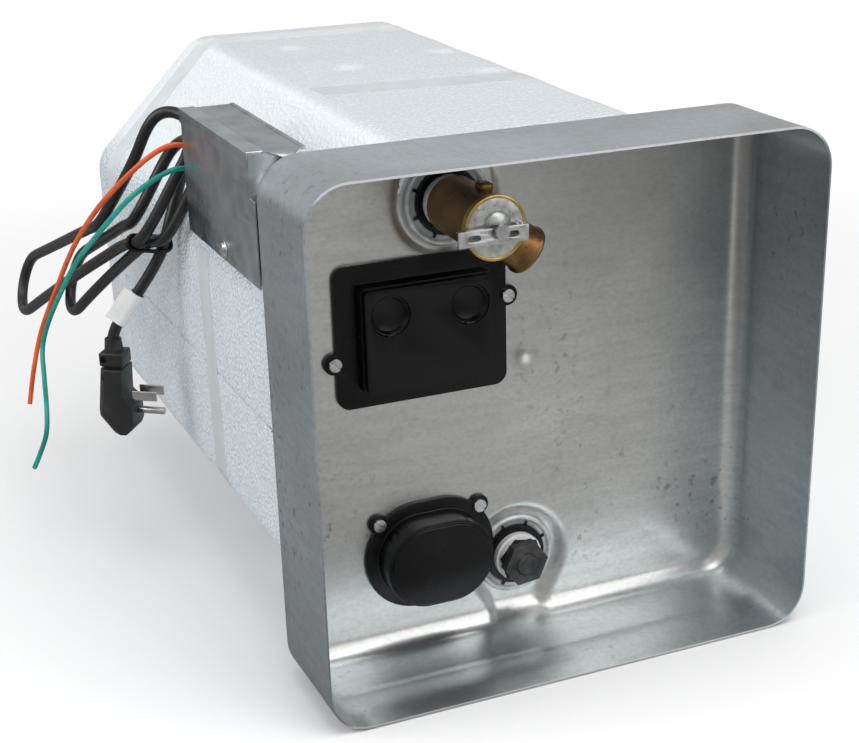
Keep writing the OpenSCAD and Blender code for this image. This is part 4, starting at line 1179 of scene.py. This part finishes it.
# drain plug: moulded hexagon head with a low round boss
drainShape = {
    "at": (-1, 44),
    "head": (163.5, 171.5),
    "flats": 26.4,
    "chamfer": (0.7, 0.8),
    "edge": (0.8, 3, 28),
    "gap": 0.02,
    "turn": 6.5,
    "bossSides": 48,
    "boss": [(7.4, 171.3), (7.3, 172.2), (6.6, 172.9), (4.6, 172.9), (3.8, 172.0), (0.4, 171.9)],
    "cut": ((-40, -190, 0), (40, -163.5, 90)),  # takes off the plain head
}


def drainPlug():
    turn = Matrix.Rotation(math.radians(drainShape["turn"]), 4, "Z")
    place = facing(*drainShape["at"]) @ turn
    back, front = drainShape["head"]
    corner = drainShape["flats"] / math.sqrt(3)
    inset, rise = drainShape["chamfer"]
    profile = [(corner - inset, back + drainShape["gap"]), (corner, back + rise), (corner, front)]
    head = soften(turned(profile, place, 6), *drainShape["edge"], tidy=False)
    cut = block(*drainShape["cut"])
    stub = fused(copyOf("drain_plug"), [cut], "DIFFERENCE")
    boss = turned(drainShape["boss"], place, drainShape["bossSides"])
    return fused(head, [boss, stub])


addPiece("drain_hex_plug", drainPlug(), "hexPlastic", ["drain_plug"])
print("drain plug shaped")

# angled three-pin plug, tag and twist tie on the mains lead
plugShape = {
    "turn": 53,
    "outline": [  # across toward the pins, then up
        (-8.5, -12), (-12.4, -41), (-12.4, -46), (-3, -58), (6.5, -58), (10.5, -54.5), (12.5, -50),
        (12.5, -38), (9.8, -33), (6.6, -30), (7.6, -12),
    ],
    "half": 10,
    "backFrom": (6, 9),  # the long edges of the back are cut off
    "backEdge": (4.2, 1, 60),
    "edge": (0.9, 3, 25),
    "collar": ((-8, -8.2, -10.5), (8, 8, -1)),
    "neck": ((-6, -6.5, -13), (6, 6, -9)),
    "softer": {"collar": 1.2, "neck": 0.8},
    "sleeveSides": 40,
    "sleeve": [(3.9, 8), (5.4, 7.4), (6.3, -1.5), (3.9, -1.5)],
    "slots": [((-12, 2.5, -7.4), (-5.6, 6.4, -3.6)), ((-12, 5.2, -19.4), (-7.4, 9.2, -15.6))],
}
plugPlace = Matrix.Rotation(math.radians(plugShape["turn"]), 4, "Z")
plugPlace = Matrix.Translation(tailPoints[-1]) @ plugPlace


def moved(mesh, place):
    mesh.transform(Matrix.Translation(place.translation * mm) @ place.to_3x3().to_4x4())
    return mesh


def plugBody():
    outline, half = plugShape["outline"], plugShape["half"]
    count = len(outline)
    points = [(side * half, -across, up) for side in (-1, 1) for across, up in outline]
    faces = [tuple(range(count)), tuple(range(2 * count - 1, count - 1, -1))]
    faces += [(k, k + count, (k + 1) % count + count, (k + 1) % count) for k in range(count)]
    mesh = meshOf(points, faces)
    out, wide = plugShape["backFrom"]

    def atBack(spot):
        return spot.y > out and abs(spot.x) > wide

    soften(mesh, *plugShape["backEdge"], atBack, tidy=False)
    soften(mesh, *plugShape["edge"], tidy=False)
    adds = [softBlock(plugShape[part], width) for part, width in plugShape["softer"].items()]
    sides = plugShape["sleeveSides"]
    adds.append(turned(plugShape["sleeve"], Matrix.Identity(4), sides, True))
    mesh = fused(mesh, adds)
    mesh = fused(mesh, [block(*slot) for slot in plugShape["slots"]], "DIFFERENCE")
    return moved(mesh, plugPlace)


tieShape = {
    "wire": 1.1,
    "windings": (-1.3, 1.0),
    "slant": 0.6,
    "steps": 60,
    "sides": 10,
    "reach": 30,  # strands farther off lie outside the tie
}


def strandsAt(u):  # where the strands of the hank pass the tie
    centre, found = hank.origin + u * hank.along, []
    for a, b in zip(mainsWay, mainsWay[1:]):
        before, after = (a - centre).dot(hank.along), (b - centre).dot(hank.along)
        if before * after < 0:
            spot = a.lerp(b, before / (before - after)) - centre
            found.append((spot.dot(hank.across), spot.dot(hank.inward)))
    return [spot for spot in found if math.hypot(*spot) < tieShape["reach"]]


def tieWinding(place, strands):
    wire, steps = tieShape["wire"], tieShape["steps"]
    around, rows = leadShape["diameter"] / 2 + wire, []
    for k in range(steps):
        a = 2 * math.pi * k / steps
        v, w = max(strands, key=lambda spot: spot[0] * math.cos(a) + spot[1] * math.sin(a))
        out = math.cos(a) * hank.across + math.sin(a) * hank.inward
        spot = hank.origin + (place + tieShape["slant"] * math.sin(a)) * hank.along
        spot += v * hank.across + w * hank.inward + around * out
        ring = circle(wire, 0, tieShape["sides"])
        rows.append([spot + p.x * out + p.y * hank.along for p in ring])
    return faceOut(loft(rows, True))


def twistTie():  # two turns of covered wire round the waist of the hank
    place = leadShape["waist"][0]
    turns = [tieWinding(place + shift, strandsAt(place)) for shift in tieShape["windings"]]
    return fused(turns[0], turns[1:])


tieLoop = addPiece("hank_twist_tie", twistTie(), "blackPlastic", ["hank_tie"], smooth=60)
plugPiece = addPiece("mains_plug_body", plugBody(), "cordJacket", ["plug_body"], smooth=30)
pins = softCopy("plug_blades", "mains_plug_pins", "nickel", 0.3)
tagShape = {
    "low": 19,
    "radius": 4.5,
    "long": 24,
    "flag": 9,
    "thick": 0.4,
    "inset": 0.06,
    "sides": 40,
    "side": (-0.905, 0.425, 0),
}


def tagPiece():
    r, thick, long = tagShape["radius"], tagShape["thick"], tagShape["long"]
    end = wayLength(mainsWay) - tagShape["low"]
    low, high = alongWay(mainsWay, end)[0], alongWay(mainsWay, end - long)[0]
    up = (high - low).normalized()
    side = Vector(tagShape["side"])
    side = (side - side.dot(up) * up).normalized()
    place = Matrix((side, up.cross(side), up)).transposed().to_4x4()
    place.translation = low
    profile = [(r, 0), (r + thick, 0), (r + thick, long), (r, long)]
    sleeve = turned(profile, Matrix.Identity(4), tagShape["sides"], True)
    inset = tagShape["inset"]
    ends = (0, r + inset, inset), (tagShape["flag"], r + thick - inset, long - inset)
    return moved(fused(sleeve, [block(*ends)]), place)


tag = addPiece("lead_paper_tag", tagPiece(), "tagPaper", ["cord_tag"])
wayLength(mainsWay) * mm
print("plug and tag shaped")

# studio: pale floor, soft light, white behind
studio = {
    "floor": grey(0.92),
    "shadeLeft": (-0.16, 0.05, 0.13, 0.43),  # the floor as the bright metal mirrors it
    "shadeRight": (0.18, 0.55, 1.0, 0.35),
    "shadeBack": (-0.38, -0.12, 0.0, 0.15),
    "fade": (0.55, 1.15),  # the floor runs out to white, in metres from the part
    "ambient": 0.46,
    "key": {"place": (0.25, -0.75, 2.2), "size": 2.2, "power": 32},
    "front": {"place": (1.2, -2.0, 1.15), "size": 1.9, "power": 12},
    "side": {"place": (-2.0, 0.1, 1.5), "size": 1.6, "power": 20},
    "aim": (-0.02, 0.0, 0.16),
    "far": 12,
    "level": -0.0004,
}


def addLamp(name, lamp):
    data = bpy.data.lights.new(name, "AREA")
    data.shape, data.size, data.energy = "DISK", lamp["size"], lamp["power"]
    made = newObject(name, data)
    made.location = lamp["place"]
    made.rotation_mode = "QUATERNION"
    made.rotation_quaternion = (Vector(studio["aim"]) - made.location).to_track_quat("-Z", "Y")


def floorPaint(s):
    away = s.add("ShaderNodeVectorMath", {"operation": "LENGTH"}, {0: objectPlace(s)}, "Value")
    seen = s.add("ShaderNodeLightPath", out="Is Camera Ray")
    mirrored = s.add("ShaderNodeLightPath", out="Is Glossy Ray")
    across = axis(s, "X")
    shade = across.ramp(*studio["shadeLeft"]) * across.ramp(*studio["shadeRight"])
    shade = shade + axis(s, "Y").ramp(*studio["shadeBack"])
    colour = mirrored.mix(studio["floor"], shade.mix(grey(0), grey(1)))
    matte = surface(s, colour=colour, rough=1.0, gloss=0.0)
    white = s.add("ShaderNodeEmission", {}, {"Color": grey(1), "Strength": 1.0})
    fade = away.ramp(*studio["fade"]) * seen
    return s.add("ShaderNodeMixShader", {}, {0: fade, 1: matte, 2: white})


def skyPaint(s):  # plain white to the camera, softer as a light
    seen = s.add("ShaderNodeLightPath", out="Is Camera Ray")
    soft = s.add("ShaderNodeBackground", {}, {"Color": grey(1), "Strength": studio["ambient"]})
    white = s.add("ShaderNodeBackground", {}, {"Color": grey(1), "Strength": 1.0})
    return s.add("ShaderNodeMixShader", {}, {0: seen, 1: soft, 2: white})


def setStudio():
    scene.world = dressed(bpy.data.worlds.new("studio"), skyPaint, "ShaderNodeOutputWorld")
    for name in ("key", "front", "side"):
        addLamp(name + "Lamp", studio[name])
    far = studio["far"]
    corners = [(-far, -far, 0), (far, -far, 0), (far, far, 0), (-far, far, 0)]
    mesh = bpy.data.meshes.new("floor")
    mesh.from_pydata(corners, [], [(0, 1, 2, 3)])
    mesh.materials.append(dressed(bpy.data.materials.new("paleFloor"), floorPaint))
    floor = newObject("floor", mesh)
    floor.location.z = studio["level"]


setStudio()
print("studio set")
